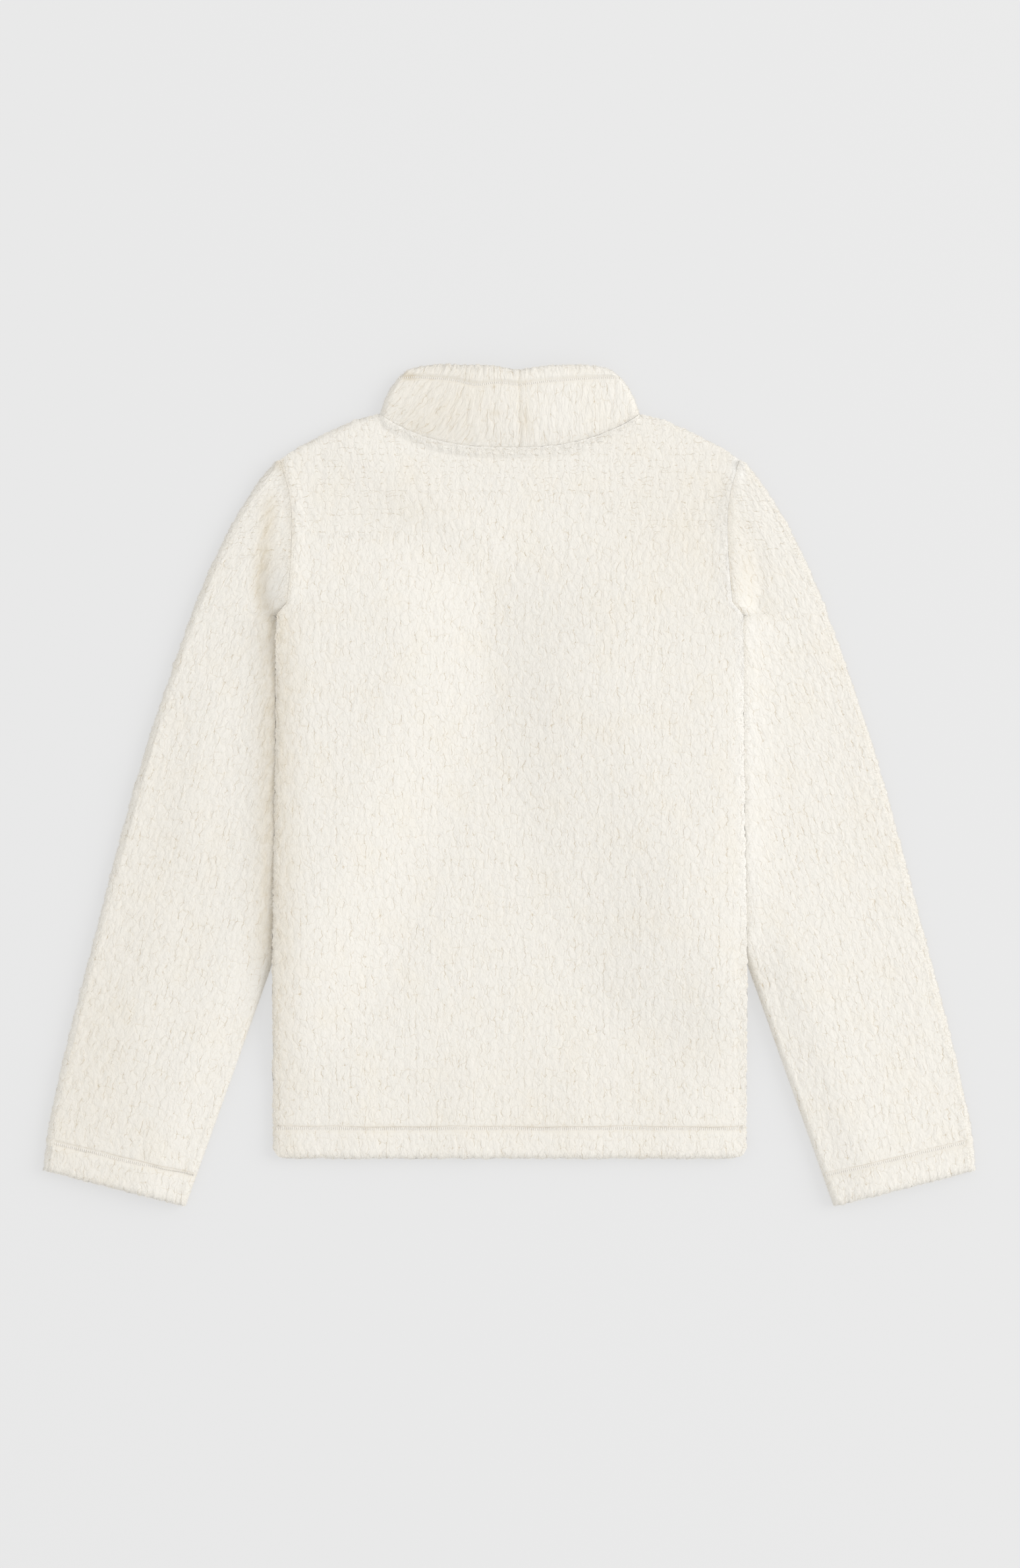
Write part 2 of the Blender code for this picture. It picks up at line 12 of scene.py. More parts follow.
import bpy
import mathutils
import numpy as np
from mathutils.bvhtree import BVHTree
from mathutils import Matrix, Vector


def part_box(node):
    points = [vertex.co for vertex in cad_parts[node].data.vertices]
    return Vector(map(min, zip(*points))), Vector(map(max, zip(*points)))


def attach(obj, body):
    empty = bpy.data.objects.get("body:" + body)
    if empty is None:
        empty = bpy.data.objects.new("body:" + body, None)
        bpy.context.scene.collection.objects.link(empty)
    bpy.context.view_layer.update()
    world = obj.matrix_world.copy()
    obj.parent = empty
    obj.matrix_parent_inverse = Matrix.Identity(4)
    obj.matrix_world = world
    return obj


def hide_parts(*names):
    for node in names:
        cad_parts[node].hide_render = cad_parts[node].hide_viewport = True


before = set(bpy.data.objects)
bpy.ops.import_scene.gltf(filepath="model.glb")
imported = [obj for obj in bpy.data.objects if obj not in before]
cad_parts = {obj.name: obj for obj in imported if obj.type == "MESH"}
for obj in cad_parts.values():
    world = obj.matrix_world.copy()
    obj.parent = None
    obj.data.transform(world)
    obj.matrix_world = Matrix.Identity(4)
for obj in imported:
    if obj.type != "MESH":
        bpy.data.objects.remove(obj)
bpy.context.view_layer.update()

bl_info = {
    "name": "Pile pullover",
    "version": (1, 0, 0),
    "blender": (4, 5, 0),
    "location": "3D View > Sidebar > Pullover",
    "description": "Builds a pile pullover that lies flat: panels, sleeves, collar, stitching and stage",
    "category": "Object",
}

MM = 0.001

# Sizes that the frame gives
HEM_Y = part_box("back")[0].y
COLLAR_TOP_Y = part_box("collar")[1].y

# Cloth
CLOTH = 5.0 * MM
PLY_GAP = 0.3 * MM
SEAM_GAP = 0.05 * MM
SLIT = 0.6 * MM
TUBE_HEIGHT = 2 * CLOTH + SLIT

# Fineness of the shells: every COARSE-th point is kept on the hidden lining
COARSE = 8
FRONT_GRID = (COARSE * 24 + 1, COARSE * 28 + 1)
BACK_GRID = (COARSE * 36 + 1, COARSE * 40 + 1)
SLEEVE_ROWS = COARSE * 48 + 1
SLEEVE_TOP_POINTS = 150
SLEEVE_FOLD_POINTS = 18
SLEEVE_BOTTOM_POINTS = 57
SLEEVE_NEAR_POINTS = 30
SLEEVE_END_POINTS = 6
COLLAR_RINGS = COARSE * 9 + 1
COLLAR_HALF = COARSE * 23
END_POINTS = 8

# Body outline
BACK_SIDE_ROUND = 34.0 * MM
BACK_SQUARE_FROM = 85.0 * MM
FRONT_SIDE_ROUND = 11.0 * MM
FRONT_SQUARE_FROM = 143.0 * MM
SQUARE_AT = 151.0 * MM
HEM_ROUND = 6.0 * MM
HEM_CORNER = 11.0 * MM
SHOULDER_ROUND = 5.0 * MM
CUFF_ROUND = 5.0 * MM
TIP_REACH = 9.0 * MM
EDGE_LIP = 0.3
NECK_HALF = 108.6 * MM
NECK_SIDE_Y = 308.5 * MM
BACK_NECK_Y = 281.0 * MM
FRONT_NECK_Y = 240.0 * MM
NECK_CURVE = 2.6
SHOULDER_TIP_Y = 270.0 * MM
ROWS_BEND_FROM = 214.0 * MM

# Sewn bands
HEM_BAND = 24.5 * MM
NECK_BAND = 9.0 * MM
NECK_BAND_FADE = 4.0 * MM
COLLAR_BAND = 13.5 * MM
BAND_RISE = 1.2 * MM
BAND_STEP = 3.0 * MM
GROOVE = 0.65 * MM
GROOVE_HALF = 1.7 * MM
LADDER_GROOVE = 3.0 * MM
LADDER_HALF = 2.4 * MM

# Where the sleeves lie under the body
TUCK_TOP = 134.0 * MM
UNDER_TOP = 142.0 * MM
UNDER_FADE = 4.0 * MM
TUCK_FOOT = -147.4 * MM
TUCK_LIFT = 11.3 * MM
TUCK_MARGIN = 13.0 * MM
TUCK_SLOPE = 92.0 * MM
TUCK_FALL_ABOVE = 1.15
TUCK_FALL_BELOW = 0.9
TUCK_SPREADS = ((-1.0, 1.0), (1.0, 1.4))
SLEEVE_SLANT = 0.94
ARMHOLE_RIDGE = 1.2 * MM
ARMHOLE_RIDGE_REACH = 16.0 * MM
RIDGE_FROM = 146.0 * MM
RIDGE_FADE_BELOW_TIP = 24.0 * MM
RIDGE_FADE_ABOVE_TUCK = 22.0 * MM
SLEEVE_CROWN = 4.0 * MM
SLEEVE_FILLET = 3.4 * MM
FILLET_REACH = 18.0 * MM
UNDER_FROM = 0.05 * MM
UNDER_TO = 0.15 * MM
UNDERARM_Y = 137.5
SEAM_OPENS_FROM = 131.0
HEAD_HEIGHT = 60.0 * MM
FREE_STRIP = 30.0 * MM
WIDE_SECTION = 110.0 * MM

# Sections of a sleeve: shares of its width that its rounded end, its fold and its strip may take
END_SHARE = 0.3
FOLD_SHARE = 0.45
STRIP_LEAST = 1.3
STRIP_MOST = 0.8
STRIP_STEP = 0.2 * MM

# Collar
COLLAR_CORNER_DROP = 5.0 * MM
COLLAR_CORNER_POWER = 8
COLLAR_EDGE_ROUND = 4.0 * MM
COLLAR_CROWN = 1.5 * MM
COLLAR_DOME = 3.0 * MM
COLLAR_DOME_FROM_SEAM = 0.3
COLLAR_DIP = 5.0 * MM
COLLAR_DIP_REACH = 20.0 * MM
COLLAR_SEAM_X = 8.0 * MM
COLLAR_SEAM_GROOVE = 0.4 * MM
COLLAR_SAG = 3.5 * MM
COLLAR_SAG_X = -28.0 * MM
COLLAR_SAG_REACH = 14.0 * MM
COLLAR_HEIGHTS = (0.0, 0.33, 0.59, 0.8, 0.93, 1.0)
COLLAR_HALF_WIDTHS = (108.6, 104.3, 99.8, 94.0, 88.5, 84.5)

# How the collar's nap is combed: its lean, the middle of the turn, its stretch and the plies' distance
COLLAR_LEAN = math.radians(42.0)
COMB_MIDDLE = (-60.0 * MM, 318.0 * MM)
COMB_STRETCH = (1.15, 0.62)
PLIES_APART = 3.0

Row = namedtuple("Row", "inner_x inner_y outer_y rise strip")
Fold = namedtuple("Fold", "from_x from_y to_x to_y half_width height")
Spot = namedtuple("Spot", "x y half_x half_y depth")
Sheet = namedtuple("Sheet", "flat area rests_on sewn")
Slope = namedtuple("Slope", "start width")

# Edges: pairs of height and outward distance, in millimetres.
# This one is the side of the body, from the hem up the side and the armhole to the shoulder tip.
BODY_SIDE = (
    (-310.75, 196.8), (-147.0, 196.8), (0.0, 194.5), (141.0, 193.5), (146.0, 189.2),
    (151.5, 184.5), (158.0, 184.0), (174.0, 182.5), (194.0, 181.5), (214.0, 181.0),
    (230.0, 181.5), (246.0, 184.0), (260.0, 188.0), (270.0, 191.0),
)

# Shoulder line outwards from the neck
SHOULDER = ((308.5, 108.6), (303.5, 129.5), (292.6, 153.0), (281.6, 175.0), (270.0, 191.0))

# Outer edge of a sleeve, from the cuff to the shoulder
SLEEVE_OUTER = (
    (-322.0, 388.6), (-279.4, 382.8), (-224.4, 370.8), (-169.4, 356.7), (-114.4, 342.4),
    (-59.4, 328.0), (-4.4, 313.0), (50.6, 296.5), (105.6, 277.7), (149.6, 262.0),
    (182.6, 248.3), (215.6, 232.0), (237.6, 219.5), (259.6, 203.5), (268.5, 196.0),
)

# Inner edge of a sleeve below the body and where it is tucked under it
SLEEVE_INNER = (
    (-350.0, 269.8), (-147.4, 197.2), (82.0, 113.5), (100.0, 124.0), (118.0, 143.0),
    (131.0, 165.0), (137.5, 183.0), (151.5, 184.5),
)

# Edge of the ground that the tucked sleeve raises
TUCK_EDGE = ((-350.0, 269.8), (-147.4, 197.2), (82.0, 113.5))

# Sleeve head: one row for each section from the shoulder tip to the underarm.
# rise is the share of the way up to the body's top face at the seam, strip the width of that slope.
SLEEVE_HEAD = (
    Row(191.0, 270.0, 268.5, 0.0, 4.0),
    Row(188.0, 260.0, 259.0, 1.0, 9.0),
    Row(184.0, 246.0, 245.0, 1.0, 16.0),
    Row(181.5, 230.0, 230.5, 1.0, 22.0),
    Row(181.0, 214.0, 215.0, 1.0, 24.0),
    Row(181.5, 194.0, 196.5, 1.0, 27.0),
    Row(182.5, 174.0, 177.5, 1.0, 28.0),
    Row(184.0, 158.0, 163.0, 1.0, 27.0),
    Row(184.5, 151.5, 157.0, 0.95, 24.0),
    Row(189.2, 146.0, 152.0, 0.75, 18.0),
    Row(193.5, 141.0, 147.5, 0.0, 12.0),
    Row(183.0, 137.5, 143.0, 0.0, 12.0),
    Row(165.0, 131.0, 136.5, 0.0, 28.0),
    Row(143.0, 118.0, 127.0, 0.0, 50.0),
    Row(124.0, 100.0, 113.0, 0.0, 70.0),
    Row(113.5, 82.0, 97.0, 0.0, 80.0),
)

# Sleeve below its head: the two ends of the cuff, and how far up it the sections go, in millimetres
CUFF_INNER_Y = -350.5
CUFF_OUTER_Y = -320.5
ARM_FROM_CUFF = 410.0
ARM_SECTIONS = 83
SEAM_SECTIONS_ABOVE = 140.0

# Soft folds of the back, each a low ridge between two places
BACK_FOLDS = (
    Fold(-128.0, 280.0, -28.0, 200.0, 24.0, 1.7),
    Fold(40.0, 95.0, 44.0, -85.0, 26.0, 1.0),
    Fold(-150.0, -150.0, -160.0, -235.0, 30.0, 1.2),
    Fold(172.0, -140.0, 172.0, -235.0, 30.0, 1.0),
    Fold(148.0, -60.0, 112.0, -160.0, 26.0, 1.1),
    Fold(-122.0, -306.0, -128.0, -235.0, 20.0, 1.0),
    Fold(-38.0, -306.0, -34.0, -245.0, 20.0, 1.1),
    Fold(58.0, -306.0, 54.0, -250.0, 20.0, 0.9),
    Fold(140.0, -306.0, 144.0, -245.0, 20.0, 0.8),
)

# Soft folds of the sleeves, in the same way, for each side
SLEEVE_FOLDS = {
    "sleeve_left": (
        Fold(-250.0, 70.0, -266.0, -40.0, 19.0, 1.3),
        Fold(-300.0, 40.0, -316.0, -40.0, 16.0, 0.8),
        Fold(-290.0, -120.0, -312.0, -210.0, 22.0, 1.2),
    ),
    "sleeve_right": (
        Fold(232.0, 196.0, 262.0, 110.0, 16.0, 1.1),
        Fold(288.0, 60.0, 318.0, -60.0, 20.0, 1.1),
        Fold(330.0, -100.0, 345.0, -200.0, 20.0, 0.8),
    ),
}

# Cut of what shows of each cloth, in metres, all round on a tube, and the node that it lies on
SHEETS = {
    "front": Sheet((0.394, 0.620), 0.226, (), ()),
    "back": Sheet((0.394, 0.620), 0.234, ("front",), ("back_fuzz", "hem_stitch", "neck_stitch")),
    "sleeve_left": Sheet((0.340, 0.630), 0.180, (), ("sleeve_left_fuzz", "sleeve_left_stitch")),
    "sleeve_right": Sheet((0.340, 0.630), 0.180, (), ("sleeve_right_fuzz", "sleeve_right_stitch")),
    "collar": Sheet((0.420, 0.080), 0.030, ("front",), ("collar_fuzz", "collar_stitch")),
}

# Round spots of painted shade on the pile, or of painted highlight where depth is below 0
BACK_SHADING_SPOTS = (
    Spot(146.0, 206.0, 60.0, 62.0, 0.16),
    Spot(-192.0, 205.0, 4.0, 52.0, 0.4),
    Spot(-82.0, 236.0, 46.0, 30.0, 0.1),
    Spot(20.0, -262.0, 150.0, 44.0, 0.08),
    Spot(-140.0, -60.0, 34.0, 110.0, -0.04),
    # Painted highlight over a dark spot at the left shoulder tip
    Spot(189.0, 266.0, 6.0, 14.0, -0.9),
)
# Painted shade on the collar: at the notch of its top edge, beside the centre-back seam and over its left
# half
COLLAR_SHADING_SPOTS = (
    Spot(-84.0, 340.0, 6.0, 3.5, 1.0),
    Spot(13.5, 302.0, 6.0, 14.0, 0.42),
    Spot(9.0, 315.0, 1.8, 24.0, 0.15),
    Spot(-11.0, 309.0, 6.0, 2.5, 0.3),
    Spot(-52.0, 314.0, 46.0, 40.0, 0.3),
)
# Painted shade on the left sleeve, which turns away from the light
LEFT_SLEEVE_SHADE_SPOTS = (
    Spot(-352.0, -225.0, 46.0, 110.0, 0.24),
    Spot(-290.0, -60.0, 40.0, 90.0, 0.12),
)
# Painted shade below the right sleeve's head, and painted highlight over a dark spot at its tip
RIGHT_HEAD_SHADING_SPOTS = (
    Spot(197.0, 178.0, 12.0, 26.0, 0.3),
    Spot(192.0, 266.0, 6.0, 14.0, -0.9),
)

# Painted shade along the left side, valleys, sleeve heads, seams and ladders, painted highlight where the
# value is below 0: how strong it is, and how far it reaches
LEFT_SIDE_SHADE = 0.55
LEFT_SIDE_REACH = 18.0 * MM
LEFT_SIDE_FOOT = -420.0 * MM
LEFT_SIDE_RUN = 300.0 * MM
RIGHT_SIDE_HIGHLIGHT = -0.5
RIGHT_SIDE_REACH = 7.0 * MM
LEFT_ARMHOLE_SHADE = 0.25
RIGHT_ARMHOLE_HIGHLIGHT = -0.3
ARMHOLE_TINT_REACH = 2.2 * MM
LEFT_VALLEY_SHADE = 0.74
RIGHT_VALLEY_HIGHLIGHT = -0.4
VALLEY_REACH = 15.0 * MM
HEAD_VALLEY_AT = 0.85
HEAD_VALLEY_REACH = 7.0 * MM
HEAD_SEAM_SHADE = 0.25
HEAD_SEAM_REACH = 2.0 * MM
NECK_HIGHLIGHT = -0.35
NECK_TINT_REACH = 2.0 * MM
COLLAR_TINT_REACH = 2.5 * MM
LADDER_GROUND_SHADE = 0.14
LADDER_TINT_PAST = 0.8 * MM
LADDER_TINT_FADE = 1.0 * MM

# Heights, in millimetres, over which something begins, or ends where the width is below 0
ARMHOLE_BEGINS = Slope(135.0, 10.0)
LUMPS_END = Slope(130.0, -10.0)
LEFT_TINT_ENDS = Slope(135.0, 20.0)
SEAM_TINT_BEGINS = Slope(130.0, 20.0)
RIGHT_TINT_BEGINS = Slope(-150.0, 60.0)
RIGHT_TINT_ENDS = Slope(250.0, -60.0)
VALLEY_BEGINS = Slope(-170.0, 50.0)
HEAD_VALLEY_ENDS = Slope(252.0, -30.0)
FILLET_BEGINS = Slope(-165.0, 40.0)
COLLAR_COMBED = Slope(-8.0, -66.0)
TURN_BESIDE = Slope(60.0, 50.0)
TURN_BEGINS = Slope(190.0, 40.0)
TURN_TOP = Slope(235.0, 20.0)
SLEEVE_TURN = Slope(170.0, 40.0)

# How much of the pile stands beside seams
SEAM_REACH = 2.5 * MM
SEAM_LEFT = 0.4
NECK_GROOVE_SHARE = 0.5
NECK_GROOVE_REACH = 1.2 * MM
NECK_PUFF = 0.9
NECK_PUFF_STEP = 2.0 * MM
NECK_SEAM_SHARE = 0.7
ARMHOLE_PUFF = 0.5
ARMHOLE_PUFF_REACH = 8.0 * MM
ARMHOLE_SEAM_SHARE = 0.75
GROOVE_COVER = 0.1
GROOVE_COVER_FADE = 1.4 * MM
FRONT_COVER = 0.8

# Curls of the pile: each is longer along the nap
CURL_WIDTH = 4.6 * MM
CURL_LENGTH = 8.6 * MM
CRACK_WIDTH = 5.6 * MM
CRACK_LENGTH = 8.4 * MM
CREVICE_GAP = 6.0 * MM
LEDGE_GAP = 5.0 * MM
FLECK_WIDTH = 1.7 * MM
FLECK_LENGTH = 2.6 * MM

# How far places on the cloth wander, and the fineness of that
WANDER = (5.0 * MM, 130.0)
BEND = (2.2 * MM, 300.0)
KINK = (0.5 * MM, 900.0)
SHAKE = (1.2 * MM, 700.0)

# Thicker pile along cut edges, and where loose fibres stand
EDGE_PILE = 1.0
EDGE_PILE_REACH = 5.0 * MM
FUZZ_REACH = 4.0 * MM
FUZZ_FLOOR = 0.01
LUMP_WIDTH = 6.0 * MM
LUMP_HEIGHT = 1.6 * MM
LUMP_REACH = 4.0 * MM
LUMP_SPAN = 0.45
LUMP_INWARDS = 0.25

# Stitching and fibres
STITCH_PITCH = 1.7 * MM
STITCH_THREAD = 0.9 * MM
LINE_THREAD = 0.42
STITCH_SINK = 0.05 * MM
HEM_STITCH = 4.6 * MM
COLLAR_STITCH = 3.2 * MM
NECK_STITCH = 0.7 * MM
NECK_SINK = 0.3 * MM
STITCH_TILT = 0.12
SIDE_CLEAR = 3.0 * MM
NECK_CLEAR = 6.0 * MM
FIBRE_DENSITY = 1.3e6
FIBRE_LENGTH = 2.6 * MM
FIBRE_WIDTH = 0.17 * MM

# Photograph: its size in pixels, and the real length of one pixel
PHOTO_WIDTH = 1548
PHOTO_HEIGHT = 2380
PIXEL = 0.55 * MM
PHOTO_MIDDLE_X = 0.5 * PIXEL
PHOTO_MIDDLE_Y = 1.5 * PIXEL
CAMERA_HEIGHT = 3.0
SENSOR = 36.0

# Floor, soft room, and softbox to the right of the garment and above it
FLOOR_SIZE = 12.0
FLOOR_DROP = 0.2 * MM
ROOM_LIGHT = 0.915
SOFTBOX_SIZE = 6.2
SOFTBOX_DISTANCE = 8.0
SOFTBOX_TURN = (0.0, math.radians(57.0), math.radians(15.0))


def smooth(value):
    """Goes from 0 to 1 with level ends."""
    value = np.clip(value, 0.0, 1.0)
    return value * value * (3.0 - 2.0 * value)


def rising(value, slope):
    """Goes from 0 to 1 over a slope, or from 1 to 0 where its width is below 0."""
    return smooth((value - slope.start * MM) / (slope.width * MM))


def bell(distance, reach):
    """1 at a line or an edge, falling softly to 0 past a reach."""
    return np.exp(-((distance / reach) ** 2))


def rounded(distance, radius):
    """Share of full height at a distance in from a rounded edge."""
    inwards = np.clip(distance / radius, 0.0, 1.0)
    return EDGE_LIP + (1.0 - EDGE_LIP) * np.sqrt(1.0 - (1.0 - inwards) ** 2)


def along(edge, y):
    """Outward x of an edge at a height y, both in metres."""
    heights, distances = np.array(sorted(edge)).T * MM
    return np.interp(y, heights, distances)


def neck_line(x, lowest):
    """Height of a neckline at x."""
    return lowest + (NECK_SIDE_Y - lowest) * np.minimum(np.abs(x / NECK_HALF), 1.0) ** NECK_CURVE


def top_line(x, lowest_neck):
    """Upper edge of a body panel: neckline in the middle, shoulders beside it."""
    heights, distances = np.array(SHOULDER).T * MM
    return np.where(abs(x) < NECK_HALF, neck_line(x, lowest_neck), np.interp(abs(x), distances, heights))


def fold_height(x, y, folds):
    """Sum of the soft ridges at a place."""
    height = np.zeros_like(x)
    for fold in folds:
        start = np.array((fold.from_x, fold.from_y)) * MM
        run = np.array((fold.to_x, fold.to_y)) * MM - start
        share = ((x - start[0]) * run[0] + (y - start[1]) * run[1]) / (run @ run)
        share = np.clip(share, 0.0, 1.0)
        distance = np.hypot(x - start[0] - share * run[0], y - start[1] - share * run[1])
        height = height + fold.height * MM * bell(distance, fold.half_width * MM)
    return height


def tuck_lift(x, y):
    """How far the tucked sleeves lift the body at a place; on the right the slope is longer."""
    above = np.maximum(y - TUCK_TOP, 0.0) * TUCK_FALL_ABOVE
    below = np.maximum(TUCK_FOOT - y, 0.0) * TUCK_FALL_BELOW
    lying = 1.0
    for side, spread in TUCK_SPREADS:
        beside = np.maximum(along(TUCK_EDGE, y) - side * x, 0.0) * SLEEVE_SLANT / spread
        distance = np.hypot(beside, above + below)
        lying = lying * smooth((distance - TUCK_MARGIN) / TUCK_SLOPE)
    return TUCK_LIFT * (1.0 - lying)


def armhole_ridge(x, y):
    """Rise of the body and the sleeve head towards the armhole seam."""
    from_seam = abs(abs(x) - along(BODY_SIDE, y))
    near = 1.0 - smooth(from_seam / ARMHOLE_RIDGE_REACH)
    below_tip = smooth((SHOULDER_TIP_Y - y) / RIDGE_FADE_BELOW_TIP)
    above_tuck = smooth((y - RIDGE_FROM) / RIDGE_FADE_ABOVE_TUCK)
    return ARMHOLE_RIDGE * near * below_tip * above_tuck


def band(distance, width, groove_half=LADDER_GROOVE):
    """Fuller cloth in a turned edge, with the flat groove of its stitching."""
    full = BAND_RISE * smooth((width - distance) / BAND_STEP)
    groove = GROOVE * np.exp(-(((distance - width) / groove_half) ** 4))
    return full - groove


def back_lower_face(x, y):
    """Height of the back's lower face."""
    return tuck_lift(x, y) + CLOTH + PLY_GAP + fold_height(x, y, BACK_FOLDS) + armhole_ridge(x, y)


def points(x, y, z):
    """Grid of points from three grids of numbers."""
    return np.stack((x, y, z), axis=-1)


def panel_plan(lowest_neck, columns, rows):
    """Plan of a body panel: x and y of a fine grid, row by row from the hem to the top."""
    across = np.linspace(-1.0, 1.0, columns)
    row = np.linspace(HEM_Y, SHOULDER_TIP_Y, rows)[:, None]
    tip = along(BODY_SIDE, SHOULDER_TIP_Y)
    neck_share = NECK_HALF / tip
    top = top_line(across * tip, lowest_neck) - SEAM_GAP / 2
    bend = np.maximum(row - ROWS_BEND_FROM, 0.0) / (SHOULDER_TIP_Y - ROWS_BEND_FROM)
    side = along(BODY_SIDE, row)
    neck = NECK_HALF * bend + side * neck_share * (1.0 - bend)
    inside = abs(across) / neck_share
    outside = (abs(across) - neck_share) / (1.0 - neck_share)
    x = np.where(inside < 1.0, neck * inside, neck + (side - neck) * outside) * np.sign(across)
    y = row + (top - SHOULDER_TIP_Y)[None, :] * bend
    corner = 1.0 - np.sqrt(np.clip(1.0 - (1.0 - (row - HEM_Y) / HEM_CORNER) ** 2, 0.0, 1.0))
    corner = np.where(row - HEM_Y < HEM_CORNER, corner, 0.0)
    x = x * (1.0 - corner * HEM_CORNER / side)
    return x, y, row, top


def edge_share(x, y, row, top, side_round, square_from):
    """Share of the cloth's full height near the hem, the sides and the shoulders."""
    side = along(BODY_SIDE, row)
    seam_rows = smooth((row - square_from) / (SQUARE_AT - square_from))
    from_side = (side - abs(x)) + seam_rows * side_round
    from_hem = y - HEM_Y
    outside_neck = abs(x[-1]) > NECK_HALF
    met = SHOULDER_ROUND * bell(side - abs(x), TIP_REACH)
    from_top = np.where(outside_neck[None, :], top[None, :] - y + met, SHOULDER_ROUND)
    share = rounded(from_side, side_round) * rounded(from_hem, HEM_ROUND)
    return np.maximum(share * rounded(from_top, SHOULDER_ROUND), EDGE_LIP)


def grid_faces(rows, columns, start, closed, flip):
    """Four-sided faces of a grid whose first point has the number start."""
    r = np.arange(rows - 1)[:, None]
    c = np.arange(columns if closed else columns - 1)[None, :]
    n = (c + 1) % columns
    corners = [start + r * columns + c, start + r * columns + n]
    corners += [start + (r + 1) * columns + n, start + (r + 1) * columns + c]
    faces = np.stack([np.broadcast_to(k, (rows - 1, c.size)).ravel() for k in corners], axis=-1)
    return faces[:, ::-1] if flip else faces


def shell(name, outer, lining, cloth_place, marks, closed=False, flip=False):
    """A closed shell: fine outside, coarse lining, and joined rims.

    cloth_place holds each outer point's place on the flat cloth. marks are more numbers of these points:
    pile_cover is the share of full pile, pile_hollow is painted shade where it is above 0 and
    painted highlight where it is below 0, pile_fuzz is the share of loose fibres and pile_turn is 1 where
    its gaps run across the nap instead of along it.
    """
    rows, columns = outer.shape[:2]
    inner = lining[::COARSE, ::COARSE]
    inner_place = cloth_place[::COARSE, ::COARSE]
    inner_rows, inner_columns = inner.shape[:2]
    count = rows * columns
    faces = grid_faces(rows, columns, 0, closed, flip).tolist()
    faces += grid_faces(inner_rows, inner_columns, count, closed, not flip).tolist()

    def fine(r, c):
        return r * columns + c % columns

    def coarse(r, c):
        return count + r * inner_columns + c % inner_columns

    rims = []
    last_row, last_column = inner_rows - 1, inner_columns - 1
    for c in range(inner_columns if closed else last_column):
        steps = range(c * COARSE, (c + 1) * COARSE + 1)
        rims.append([fine(0, k) for k in reversed(steps)] + [coarse(0, c), coarse(0, c + 1)])
        rims.append([fine(rows - 1, k) for k in steps] + [coarse(last_row, c + 1), coarse(last_row, c)])
    for r in range(0 if closed else last_row):
        steps = range(r * COARSE, (r + 1) * COARSE + 1)
        right = [fine(k, columns - 1) for k in reversed(steps)]
        rims.append([fine(k, 0) for k in steps] + [coarse(r + 1, 0), coarse(r, 0)])
        rims.append(right + [coarse(r, last_column), coarse(r + 1, last_column)])
    faces += [rim[::-1] for rim in rims] if flip else rims
    mesh = bpy.data.meshes.new(name)
    vertices = np.concatenate((outer.reshape(-1, 3), inner.reshape(-1, 3)))
    mesh.from_pydata(vertices.tolist(), [], faces)
    places = np.concatenate((cloth_place.reshape(-1, 2), inner_place.reshape(-1, 2)))
    places = np.column_stack((places, np.zeros(len(places))))
    place = mesh.attributes.new("cloth_place", "FLOAT_VECTOR", "POINT")
    place.data.foreach_set("vector", places.astype(np.float32).ravel())
    for label, values in marks.items():
        kept = mesh.attributes.new(label, "FLOAT", "POINT")
        padded = np.concatenate((values.ravel(), np.zeros(inner_rows * inner_columns)))
        kept.data.foreach_set("value", padded.astype(np.float32))
    mesh.shade_smooth()
    mesh.update()
    return linked(name, mesh)


def linked(name, mesh):
    """A new object of the scene with this mesh."""
    piece = bpy.data.objects.new(name, mesh)
    bpy.context.scene.collection.objects.link(piece)
    return piece


class Socket:
    """An output or a number of a node tree that takes part in sums."""

    def __init__(self, nodes, socket):
        self.nodes = nodes
        self.socket = socket

    def sum(self, operation, first, second):
        """One Math node."""
        return self.nodes.add("ShaderNodeMath", {"operation": operation}, {0: first, 1: second})

    def __add__(self, other):
        return self.sum("ADD", self, other)

    def __radd__(self, other):
        return self.sum("ADD", other, self)

    def __sub__(self, other):
        return self.sum("SUBTRACT", self, other)

    def __rsub__(self, other):
        return self.sum("SUBTRACT", other, self)

    def __mul__(self, other):
        return self.sum("MULTIPLY", self, other)

    def __rmul__(self, other):
        return self.sum("MULTIPLY", other, self)

    def __truediv__(self, other):
        return self.sum("DIVIDE", self, other)

    def __rtruediv__(self, other):
        return self.sum("DIVIDE", other, self)


